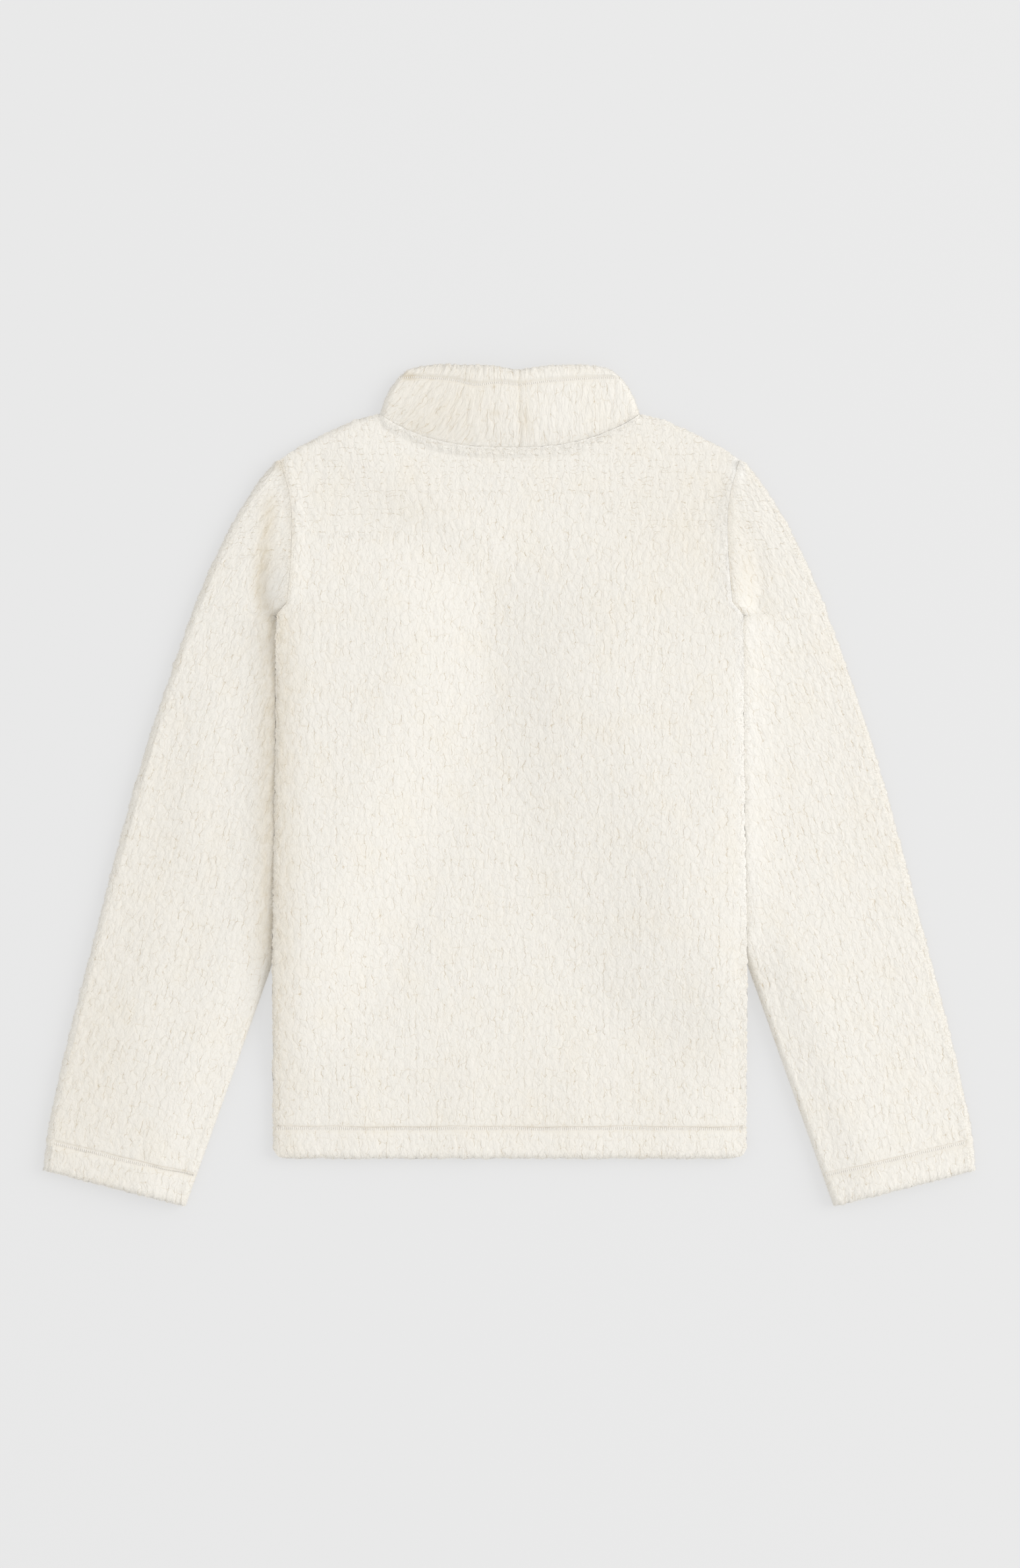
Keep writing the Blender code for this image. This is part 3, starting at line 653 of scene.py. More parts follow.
class Nodes:
    """A node tree and the one way in which nodes join it."""

    def __init__(self, tree):
        self.tree = tree

    def add(self, kind, settings=None, inputs=None, output=0):
        """Adds a node, sets it, joins or fills its sockets and gives one of its outputs."""
        node = self.tree.nodes.new(kind)
        for name, value in (settings or {}).items():
            setattr(node, name, value)
        for key, value in (inputs or {}).items():
            if isinstance(value, Socket):
                self.tree.links.new(value.socket, node.inputs[key])
            else:
                node.inputs[key].default_value = value
        if output is None:
            return node
        return Socket(self, node.outputs[output])

    def vector(self, operation, first, second):
        """One Vector Math node."""
        return self.add("ShaderNodeVectorMath", {"operation": operation}, {0: first, 1: second})

    def scaled(self, arrow, amount):
        """A vector made longer or shorter."""
        return self.add("ShaderNodeVectorMath", {"operation": "SCALE"}, {0: arrow, 3: amount})

    def kept(self, name, kind="FLOAT"):
        """An attribute of the cloth, in Geometry Nodes."""
        return self.add("GeometryNodeInputNamedAttribute", {"data_type": kind}, {"Name": name})

    def chance(self, low, high):
        """A random number for each place."""
        return self.add("FunctionNodeRandomValue", {"data_type": "FLOAT"}, {"Min": low, "Max": high}, 1)

    def dressed(self, shape, material):
        """The last two nodes of a tree: real instances with their material."""
        whole = self.add("GeometryNodeRealizeInstances", None, {"Geometry": shape})
        return self.add("GeometryNodeSetMaterial", None, {"Geometry": whole, "Material": material})

    def blend(self, share, low, high):
        """Mix of two colours."""
        return self.add("ShaderNodeMix", {"data_type": "RGBA"}, {0: share, 6: low, 7: high}, 2)

    def ramp(self, value, low, high):
        """0 below low, 1 above high, smooth between."""
        settings = {"interpolation_type": "SMOOTHSTEP"}
        return self.add("ShaderNodeMapRange", settings, {0: value, 1: low, 2: high})


def swayed(nodes, place, wander):
    """Places moved sideways by a soft noise, so that rows of curls wander."""
    amount, scale = wander
    settings = {"noise_dimensions": "2D"}
    noise = nodes.add("ShaderNodeTexNoise", settings, {"Vector": place, "Scale": scale, "Detail": 2.0}, 1)
    centred = nodes.vector("SUBTRACT", noise, (0.5, 0.5, 0.5))
    return nodes.vector("ADD", place, nodes.vector("MULTIPLY", centred, (amount, amount, 0.0)))


def curl_cells(nodes, place, width, length, feature="F1", randomness=0.95):
    """Distance in curls of one size, longer along the nap."""
    stretched = nodes.vector("MULTIPLY", place, (1.0 / width, 1.0 / length, 1.0))
    settings = {"voronoi_dimensions": "2D", "feature": feature}
    values = {"Vector": stretched, "Scale": 1.0, "Randomness": randomness}
    return nodes.add("ShaderNodeTexVoronoi", settings, values)


def pile_relief(nodes, place):
    """Height of the curls, about 0 in the gaps and 1 on their crowns."""
    wandering = swayed(nodes, place, WANDER)
    large = curl_cells(nodes, wandering, CURL_WIDTH, CURL_LENGTH, "SMOOTH_F1")
    small = curl_cells(nodes, wandering, CURL_WIDTH * 0.55, CURL_LENGTH * 0.5)
    tufts = nodes.add("ShaderNodeTexNoise", {"noise_dimensions": "2D"}, {"Vector": place, "Scale": 75.0})
    return 1.05 - large * 0.8 - small * 0.4 + (tufts - 0.5) * 0.35


def new_tree(name, sizes, materials):
    """A Geometry Nodes tree with a geometry, sizes and materials as its inputs, which are given back."""
    tree = bpy.data.node_groups.new(name, "GeometryNodeTree")
    face = tree.interface
    face.new_socket("Geometry", in_out="INPUT", socket_type="NodeSocketGeometry")
    for label, value in sizes.items():
        socket = face.new_socket(label, in_out="INPUT", socket_type="NodeSocketFloat")
        socket.default_value = value
    for label in materials:
        face.new_socket(label, in_out="INPUT", socket_type="NodeSocketMaterial")
    face.new_socket("Geometry", in_out="OUTPUT", socket_type="NodeSocketGeometry")
    nodes = Nodes(tree)
    group = nodes.add("NodeGroupInput", output=None)
    return nodes, [Socket(nodes, group.outputs[k]) for k in range(1 + len(sizes) + len(materials))]


def pile_tree(name):
    """Geometry Nodes that raise curls on a cloth and keep their height for the material."""
    nodes, inputs = new_tree(name, {"Pile Depth": 0.9 * MM, "Sunk": 0.72}, ("Cloth",))
    shape, depth, sunk, cloth = inputs
    place = nodes.kept("cloth_place", "FLOAT_VECTOR")
    cover = nodes.kept("pile_cover")
    relief = pile_relief(nodes, place)
    normal = nodes.add("GeometryNodeInputNormal")
    offset = nodes.scaled(normal, (relief - sunk) * depth * cover)
    raised = nodes.add("GeometryNodeSetPosition", None, {"Geometry": shape, "Offset": offset})
    stored = nodes.add(
        "GeometryNodeStoreNamedAttribute",
        {"data_type": "FLOAT", "domain": "POINT"},
        {"Geometry": raised, "Name": "pile_relief", "Value": relief},
    )
    nodes.add("NodeGroupOutput", None, {"Geometry": nodes.dressed(stored, cloth)}, None)
    return nodes.tree


def ladder_tree(name):
    """Geometry Nodes that sew a line: a thread along it and a short stitch across it at each step."""
    sizes = {"Pitch": STITCH_PITCH, "Stitch Length": HEM_STITCH, "Thread": STITCH_THREAD}
    nodes, inputs = new_tree(name, sizes, ("Yarn", "Line"))
    line, pitch, length, thread, yarn, dark = inputs
    curve = nodes.add("GeometryNodeMeshToCurve", None, {"Mesh": line})
    dense = nodes.add("GeometryNodeResampleCurve", {"mode": "LENGTH"}, {"Curve": curve, "Length": pitch})
    spots = nodes.add("GeometryNodeCurveToPoints", {"mode": "EVALUATED"}, {"Curve": dense}, None)
    tangent = Socket(nodes, spots.outputs["Tangent"])
    turn = nodes.add("FunctionNodeAlignRotationToVector", {"axis": "X"}, {"Vector": tangent})
    bead = nodes.add("GeometryNodeMeshUVSphere", None, {"Segments": 6, "Rings": 4, "Radius": 0.5})
    long = length * nodes.chance(0.7, 1.15)
    size = nodes.add("ShaderNodeCombineXYZ", None, {"X": pitch * 0.62, "Y": long, "Z": thread})
    held = Socket(nodes, spots.outputs["Points"])
    sewn = {"Points": held, "Instance": bead, "Rotation": turn, "Scale": size}
    stitches = nodes.add("GeometryNodeInstanceOnPoints", None, sewn)
    reach = nodes.scaled(nodes.kept("across", "FLOAT_VECTOR"), length * 0.48)
    moved = nodes.add("GeometryNodeSetPosition", None, {"Geometry": dense, "Offset": reach})
    round_thread = {"Resolution": 5, "Radius": thread * (LINE_THREAD / 2)}
    circle = nodes.add("GeometryNodeCurvePrimitiveCircle", None, round_thread)
    cord = nodes.add("GeometryNodeCurveToMesh", None, {"Curve": moved, "Profile Curve": circle})
    both = nodes.add("GeometryNodeJoinGeometry", None, {"Geometry": nodes.dressed(stitches, yarn)}, None)
    nodes.tree.links.new(nodes.dressed(cord, dark).socket, both.inputs["Geometry"])
    nodes.add("NodeGroupOutput", None, {"Geometry": Socket(nodes, both.outputs[0])}, None)
    return nodes.tree


def fuzz_tree(name):
    """Geometry Nodes that stand loose fibres on a cloth where its fuzz is more than nothing."""
    sizes = {"Density": FIBRE_DENSITY, "Fibre Length": FIBRE_LENGTH, "Fibre Width": FIBRE_WIDTH}
    nodes, inputs = new_tree(name, sizes, ("Fibre",))
    shape, density, length, width, fibre = inputs
    spots = nodes.add(
        "GeometryNodeDistributePointsOnFaces",
        {"distribute_method": "RANDOM"},
        {"Mesh": shape, "Density": density * nodes.kept("pile_fuzz")},
        None,
    )
    lean = {"Min": (-0.9, -1.1, 0.1), "Max": (0.9, 0.5, 1.1)}
    lean = nodes.add("FunctionNodeRandomValue", {"data_type": "FLOAT_VECTOR"}, lean)
    aim = nodes.vector("ADD", Socket(nodes, spots.outputs["Normal"]), lean)
    turn = nodes.add("FunctionNodeAlignRotationToVector", {"axis": "Z"}, {"Vector": aim})
    blade = nodes.add(
        "GeometryNodeMeshCone",
        {"fill_type": "NONE"},
        {"Vertices": 3, "Side Segments": 1, "Radius Top": 0.0, "Radius Bottom": 0.5, "Depth": 1.0},
    )
    long = length * nodes.chance(0.45, 1.0)
    size = nodes.add("ShaderNodeCombineXYZ", None, {"X": width, "Y": width, "Z": long})
    held = Socket(nodes, spots.outputs["Points"])
    stood = {"Points": held, "Instance": blade, "Rotation": turn, "Scale": size}
    fibres = nodes.add("GeometryNodeInstanceOnPoints", None, stood)
    nodes.add("NodeGroupOutput", None, {"Geometry": nodes.dressed(fibres, fibre)}, None)
    return nodes.tree


def grow(piece, tree, values):
    """Runs a Geometry Nodes tree on a piece and makes the result its plain mesh."""
    modifier = piece.modifiers.new("grow", "NODES")
    modifier.node_group = tree
    for item in tree.interface.items_tree:
        if item.in_out == "INPUT" and item.name in values:
            modifier[item.identifier] = values[item.name]
    graph = bpy.context.evaluated_depsgraph_get()
    made = piece.evaluated_get(graph)
    mesh = bpy.data.meshes.new_from_object(made, preserve_all_data_layers=True, depsgraph=graph)
    piece.modifiers.clear()
    old = piece.data
    piece.data = mesh
    bpy.data.meshes.remove(old)
    mesh.name = piece.name
    mesh.set_sharp_from_angle(angle=math.radians(60.0))
    return piece


def new_material(name, roughness, gloss, sheen):
    """A new material with its nodes and its shader."""
    material = bpy.data.materials.new(name)
    material.use_nodes = True
    shader = material.node_tree.nodes["Principled BSDF"]
    shader.inputs["Roughness"].default_value = roughness
    shader.inputs["Specular IOR Level"].default_value = gloss
    shader.inputs["Sheen Weight"].default_value = sheen
    return material, Nodes(material.node_tree), shader


def plain_yarn(name, colour):
    """Soft thread or loose fibre of one colour."""
    material, nodes, shader = new_material(name, 0.95, 0.1, 0.3)
    where = nodes.add("ShaderNodeTexCoord", None, None, 3)
    speck = nodes.add("ShaderNodeTexNoise", None, {"Vector": where, "Scale": 500.0, "Detail": 2.0})
    pale = tuple(colour) + (1.0,)
    dull = tuple(0.86 * part for part in colour) + (1.0,)
    shade = nodes.blend(nodes.ramp(speck, 0.35, 0.65), dull, pale)
    nodes.tree.links.new(shade.socket, shader.inputs["Base Color"])
    return material


def pile_cloth(name, tip, deep, painted_shade, painted_highlight):
    """Sherpa pile: pale crowns, painted shade in its gaps, small flecks along the nap, a soft sheen, and
    painted shade and highlight in set places.
    """
    material, nodes, shader = new_material(name, 0.92, 0.18, 0.22)
    shader.inputs["Sheen Roughness"].default_value = 0.5
    read = {"attribute_type": "GEOMETRY", "attribute_name": "cloth_place"}
    place = nodes.add("ShaderNodeAttribute", read, None, 1)
    relief, cover, turn, painted_shading = (
        nodes.add("ShaderNodeAttribute", dict(read, attribute_name=label), None, 2)
        for label in ("pile_relief", "pile_cover", "pile_turn", "pile_hollow")
    )
    wandering = swayed(nodes, place, WANDER)
    bent = swayed(nodes, wandering, BEND)
    kinked = swayed(nodes, bent, KINK)
    flat = {"noise_dimensions": "2D"}

    # Cracks between locks: a thin network, open in some patches and shut in others; their colour is painted
    # shade
    streaky = nodes.vector("MULTIPLY", wandering, (210.0, 85.0, 1.0))
    patches = nodes.add("ShaderNodeTexNoise", flat, {"Vector": streaky, "Scale": 1.0, "Detail": 2.0})
    crack = curl_cells(nodes, kinked, CRACK_WIDTH, CRACK_LENGTH, "DISTANCE_TO_EDGE")
    narrow = curl_cells(nodes, kinked, CURL_WIDTH * 0.6, CURL_LENGTH * 0.6, "DISTANCE_TO_EDGE")
    parts = nodes.add("ShaderNodeSeparateXYZ", None, {"Vector": kinked}, None)
    across, along_nap = Socket(nodes, parts.outputs[0]), Socket(nodes, parts.outputs[1])
    turned = nodes.ramp(turn + (patches - 0.5) * 0.8, 0.45, 0.55)
    phase = across * ((1.0 - turned) / CREVICE_GAP) + along_nap * (turned / LEDGE_GAP)
    from_line = nodes.add("ShaderNodeMath", {"operation": "PINGPONG"}, {0: phase, 1: 0.5})
    open_crevice = (1.0 - nodes.ramp(from_line, 0.0, 0.07)) * nodes.ramp(patches, 0.5, 0.58)
    open_crack = (1.0 - nodes.ramp(crack, 0.0, 0.075)) * nodes.ramp(patches, 0.38, 0.6)
    open_narrow = (1.0 - nodes.ramp(narrow, 0.0, 0.14)) * nodes.ramp(patches, 0.62, 0.42)

    # Flecks: the small curls within a lock; the bump raises them, and painted shade darkens the colour
    # between them
    shaken = swayed(nodes, place, SHAKE)
    flecks = curl_cells(nodes, shaken, FLECK_WIDTH, FLECK_LENGTH, "F1", 1.0)
    domes = 1.0 - flecks * flecks
    strands = nodes.vector("MULTIPLY", bent, (1100.0, 420.0, 1.0))
    streak = nodes.add("ShaderNodeTexNoise", flat, {"Vector": strands, "Scale": 1.0, "Detail": 1.0})
    tint = nodes.add("ShaderNodeTexNoise", flat, {"Vector": place, "Scale": 30.0, "Detail": 3.0})
    low_pile = 1.0 - nodes.ramp(relief, 0.0, 0.7)
    # Painted shade: the colour goes towards the gap colour in open gaps, where the curls are low and between
    # flecks
    gaps = open_crevice * 0.55 + open_crack * 0.4 + open_narrow * 0.15
    shade = gaps + low_pile * 0.08 + (0.6 - domes) * 0.08
    colour = nodes.blend(nodes.ramp(shade, -0.1, 1.0), tip, deep)
    yellowed = nodes.vector("MULTIPLY", colour, (1.0, 0.985, 0.955))
    warmed = nodes.blend(nodes.ramp(tint, 0.45, 0.75) * 0.5, colour, yellowed)
    # Painted shade towards the painted shade colour where pile_hollow is above 0
    colour_with_shade = nodes.blend(painted_shading * (0.62 + nodes.ramp(patches, 0.35, 0.65) * 0.4), warmed, painted_shade)
    # Painted highlight towards the painted highlight colour where pile_hollow is below 0
    lit = nodes.blend(nodes.ramp(painted_shading, 0.0, -1.0), colour_with_shade, painted_highlight)
    nodes.tree.links.new(lit.socket, shader.inputs["Base Color"])
    pillows = nodes.ramp(crack, 0.0, 0.3) * 0.5 + nodes.ramp(narrow, 0.0, 0.3) * 0.3
    height = pillows + domes * 0.42 + streak * 0.2 - open_crevice * 0.4
    raised = height * (cover * 0.8 + 0.2)
    bump = nodes.add("ShaderNodeBump", None, {"Strength": 0.6, "Distance": 0.5 * MM, "Height": raised})
    nodes.tree.links.new(bump.socket, shader.inputs["Normal"])
    return material


def lumps(place, seed):
    """How far the locks of pile stand out along an edge, at places on it."""
    draw = np.random.default_rng(seed)
    knots = np.arange(-LUMP_SPAN, LUMP_SPAN, LUMP_WIDTH)
    knots = knots + draw.uniform(-0.3, 0.3, knots.size) * LUMP_WIDTH
    heights = draw.uniform(0.3, 1.0, knots.size) * LUMP_HEIGHT
    between = np.clip(np.searchsorted(knots, place) - 1, 0, knots.size - 2)
    share = (place - knots[between]) / (knots[between + 1] - knots[between])
    bow = np.sqrt(np.clip(1.0 - (2.0 * share - 1.0) ** 2, 0.0, 1.0))
    return heights[between] * (bow - LUMP_INWARDS)


def near_edge(distance):
    """1 at an edge or a seam, 0 some millimetres away from it."""
    return bell(distance, FUZZ_REACH)


def fuzz_share(edges):
    """Share of loose fibres: many near edges and seams, few elsewhere."""
    return np.clip(edges, 0.0, 1.0) * (1.0 - FUZZ_FLOOR) + FUZZ_FLOOR


def groove_cover(distance, width):
    """Share of the pile that stands free beside a line of stitching."""
    beside = smooth((abs(distance - width) - LADDER_HALF) / GROOVE_COVER_FADE)
    return GROOVE_COVER + (1.0 - GROOVE_COVER) * beside


def ladder_painted_shading(distance, width):
    """Painted shade on the ground between the stitches of a ladder, in its groove."""
    return LADDER_GROUND_SHADE * smooth((LADDER_HALF + LADDER_TINT_PAST - abs(distance - width)) / LADDER_TINT_FADE)


def shading_spots(x, y, spots):
    """Sum of the soft round spots of painted shade, or of painted highlight where their depth is below 0, at
    a place.
    """
    total = np.zeros_like(x)
    for spot in spots:
        away = ((x / MM - spot.x) / spot.half_x) ** 2 + ((y / MM - spot.y) / spot.half_y) ** 2
        total = total + spot.depth * np.exp(-away)
    return total


def back_painted_shading(x, y, row):
    """Painted shade and highlight on the back: shade on its left side and left armhole seam, highlight on
    its right side and right armhole seam, and spots of either.
    """
    from_side = along(BODY_SIDE, row) - abs(x)
    left_side = np.where(x < 0.0, bell(from_side, LEFT_SIDE_REACH), 0.0)
    left_side = left_side * (1.0 - rising(y, LEFT_TINT_ENDS))
    left_side = left_side * np.clip((y - LEFT_SIDE_FOOT) / LEFT_SIDE_RUN, 0.0, 1.0)
    right_side = np.where(x > 0.0, bell(from_side, RIGHT_SIDE_REACH), 0.0)
    right_side = right_side * rising(y, RIGHT_TINT_BEGINS) * rising(y, RIGHT_TINT_ENDS)
    seam = bell(from_side, ARMHOLE_TINT_REACH) * rising(y, SEAM_TINT_BEGINS)
    seam_tint = np.where(x < 0.0, LEFT_ARMHOLE_SHADE, RIGHT_ARMHOLE_HIGHLIGHT)
    painted_shading = LEFT_SIDE_SHADE * left_side + seam_tint * seam + RIGHT_SIDE_HIGHLIGHT * right_side
    return np.clip(painted_shading + shading_spots(x, y, BACK_SHADING_SPOTS), -1.0, 1.0)


def back_cover(y, from_top, from_side, in_neck):
    """Share of full pile on the back: little in grooves and seams, more beside them and at free edges."""
    neck_groove = 1.0 - NECK_GROOVE_SHARE * in_neck * bell(from_top - NECK_BAND, NECK_GROOVE_REACH)
    neck_puff = 1.0 + NECK_PUFF * in_neck * smooth((NECK_BAND - from_top) / NECK_PUFF_STEP)
    at_neck = 1.0 - NECK_SEAM_SHARE * in_neck * (1.0 - smooth(from_top / SEAM_REACH))
    has_armhole = rising(y, ARMHOLE_BEGINS)
    at_armhole = 1.0 + ARMHOLE_PUFF * bell(from_side, ARMHOLE_PUFF_REACH) * has_armhole
    at_seam = 1.0 - ARMHOLE_SEAM_SHARE * has_armhole * (1.0 - smooth(from_side / SEAM_REACH))
    cover = groove_cover(y - HEM_Y, HEM_BAND) * neck_groove * neck_puff * at_neck * at_armhole * at_seam
    free_edge = bell(y - HEM_Y, EDGE_PILE_REACH) + bell(from_side, EDGE_PILE_REACH) * (1.0 - has_armhole)
    return cover + EDGE_PILE * np.clip(free_edge, 0.0, 1.0)


def shell_back(columns, rows):
    """Fine shell of the back panel."""
    x, y, row, top = panel_plan(BACK_NECK_Y, columns, rows)
    from_top = top[None, :] - y
    from_side = along(BODY_SIDE, row) - abs(x)
    in_neck = smooth((NECK_HALF - abs(x)) / NECK_BAND_FADE)
    low = back_lower_face(x, y)
    full = CLOTH + band(y - HEM_Y, HEM_BAND) + in_neck * band(from_top, NECK_BAND, GROOVE_HALF)
    high = low + full * edge_share(x, y, row, top, BACK_SIDE_ROUND, BACK_SQUARE_FROM)
    # Painted shade and highlight of the back, with painted shade in the hem's ladder groove
    painted_shading = back_painted_shading(x, y, row) + ladder_painted_shading(y - HEM_Y, HEM_BAND)
    edges = near_edge(y - HEM_Y) + near_edge(from_side) + near_edge(from_top)
    marks = {
        "pile_cover": back_cover(y, from_top, from_side, in_neck),
        # Painted highlight along the neck seam, against the shade of its crease
        "pile_hollow": painted_shading + NECK_HIGHLIGHT * in_neck * bell(from_top, NECK_TINT_REACH),
        "pile_fuzz": fuzz_share(edges),
        "pile_turn": np.maximum(rising(abs(x), TURN_BESIDE) * rising(y, TURN_BEGINS), rising(y, TURN_TOP)),
    }
    fringe = lumps(x, 1) * bell(y - HEM_Y, LUMP_REACH)
    sides = np.sign(x) * lumps(y, 2) * bell(from_side, LUMP_REACH) * rising(y, LUMPS_END)
    roof = lumps(x, 3) * bell(from_top, LUMP_REACH) * (1.0 - in_neck)
    outer = points(x + sides, y - fringe + roof, high)
    return shell("back_cloth", outer, points(x, y, low), points(x, y, x)[..., :2], marks)


def shell_front(columns, rows):
    """Fine shell of the front panel, seen only from below."""
    x, y, row, top = panel_plan(FRONT_NECK_Y, columns, rows)
    high = tuck_lift(x, y) + CLOTH
    share = edge_share(x, y, row, top, FRONT_SIDE_ROUND, FRONT_SQUARE_FROM)
    low = high - CLOTH * share
    marks = {"pile_cover": np.clip(1.0 - share, 0.0, 1.0) * FRONT_COVER}
    plan_place = points(x, y, x)[..., :2]
    return shell("front_cloth", points(x, y, low), points(x, y, high), plan_place, marks, flip=True)


def sleeve_sections(count):
    """Fine sections of a sleeve, read between those of its solid."""
    keys = []
    for row in SLEEVE_HEAD:
        gap = SEAM_GAP if row.inner_y > SEAM_SECTIONS_ABOVE else 0.0
        outer_x = float(along(SLEEVE_OUTER, row.outer_y * MM))
        seam = float(smooth((row.inner_y - SEAM_OPENS_FROM) / (UNDERARM_Y - SEAM_OPENS_FROM)))
        head = (row.inner_x * MM + gap, row.inner_y * MM, outer_x, row.outer_y * MM)
        keys.append(head + (row.rise, row.strip * MM, 1.0, seam))
    last = SLEEVE_HEAD[-1]
    length = last.inner_y - CUFF_INNER_Y
    for from_cuff in np.linspace(ARM_FROM_CUFF, 0.0, ARM_SECTIONS):
        share = from_cuff / length
        inner_y = (CUFF_INNER_Y + share * length) * MM
        outer_y = (CUFF_OUTER_Y + share * (last.outer_y - CUFF_OUTER_Y)) * MM
        inner_x = float(along(SLEEVE_INNER, inner_y))
        strip = max(along(BODY_SIDE, inner_y) - inner_x, FREE_STRIP)
        outer_x = float(along(SLEEVE_OUTER, outer_y))
        keys.append((inner_x, inner_y, outer_x, outer_y, 0.0, strip, from_cuff * MM, 0.0))
    keys = np.array(keys)
    walked = np.concatenate(((0.0,), np.cumsum(np.hypot(*np.diff(keys[:, 2:4], axis=0).T))))
    steps = np.linspace(0.0, walked[-1], count)
    return np.stack([np.interp(steps, walked, keys[:, k]) for k in range(keys.shape[1])], axis=-1), steps


def edge_place(inner, direction):
    """Distance along a section from its inner end to the body's side edge."""
    place = (along(BODY_SIDE, inner[1]) - inner[0]) / direction[0]
    return (along(BODY_SIDE, inner[1] + direction[1] * place) - inner[0]) / direction[0]


def sleeve_swell(x, y, flat, strip, length, rise, side, folds):
    """How far a sleeve's upper ply stands over its flat lie, and the share of it that the body hides."""
    beside_body = x - along(BODY_SIDE, y)
    under = smooth((UNDER_TO - beside_body) / (UNDER_TO - UNDER_FROM)) * smooth((UNDER_TOP - y) / UNDER_FADE)
    in_head = smooth((y[0] - UNDERARM_Y * MM) / HEAD_HEIGHT)
    lead = strip + (1.0 - in_head) * max(FREE_STRIP - strip, 0.0)
    beyond = np.clip((flat - lead) / (length - lead), 0.0, 1.0)
    crown = SLEEVE_CROWN * min(length / WIDE_SECTION, 1.0) * smooth(flat / (1.5 * lead)) * (1.0 - beyond)
    fillet = SLEEVE_FILLET * bell(np.maximum(beside_body, 0.0), FILLET_REACH) * (1.0 - rise)
    fillet = fillet * rising(y, FILLET_BEGINS)
    return (crown + fillet + fold_height(side * x, y, folds)) * (1.0 - under), under


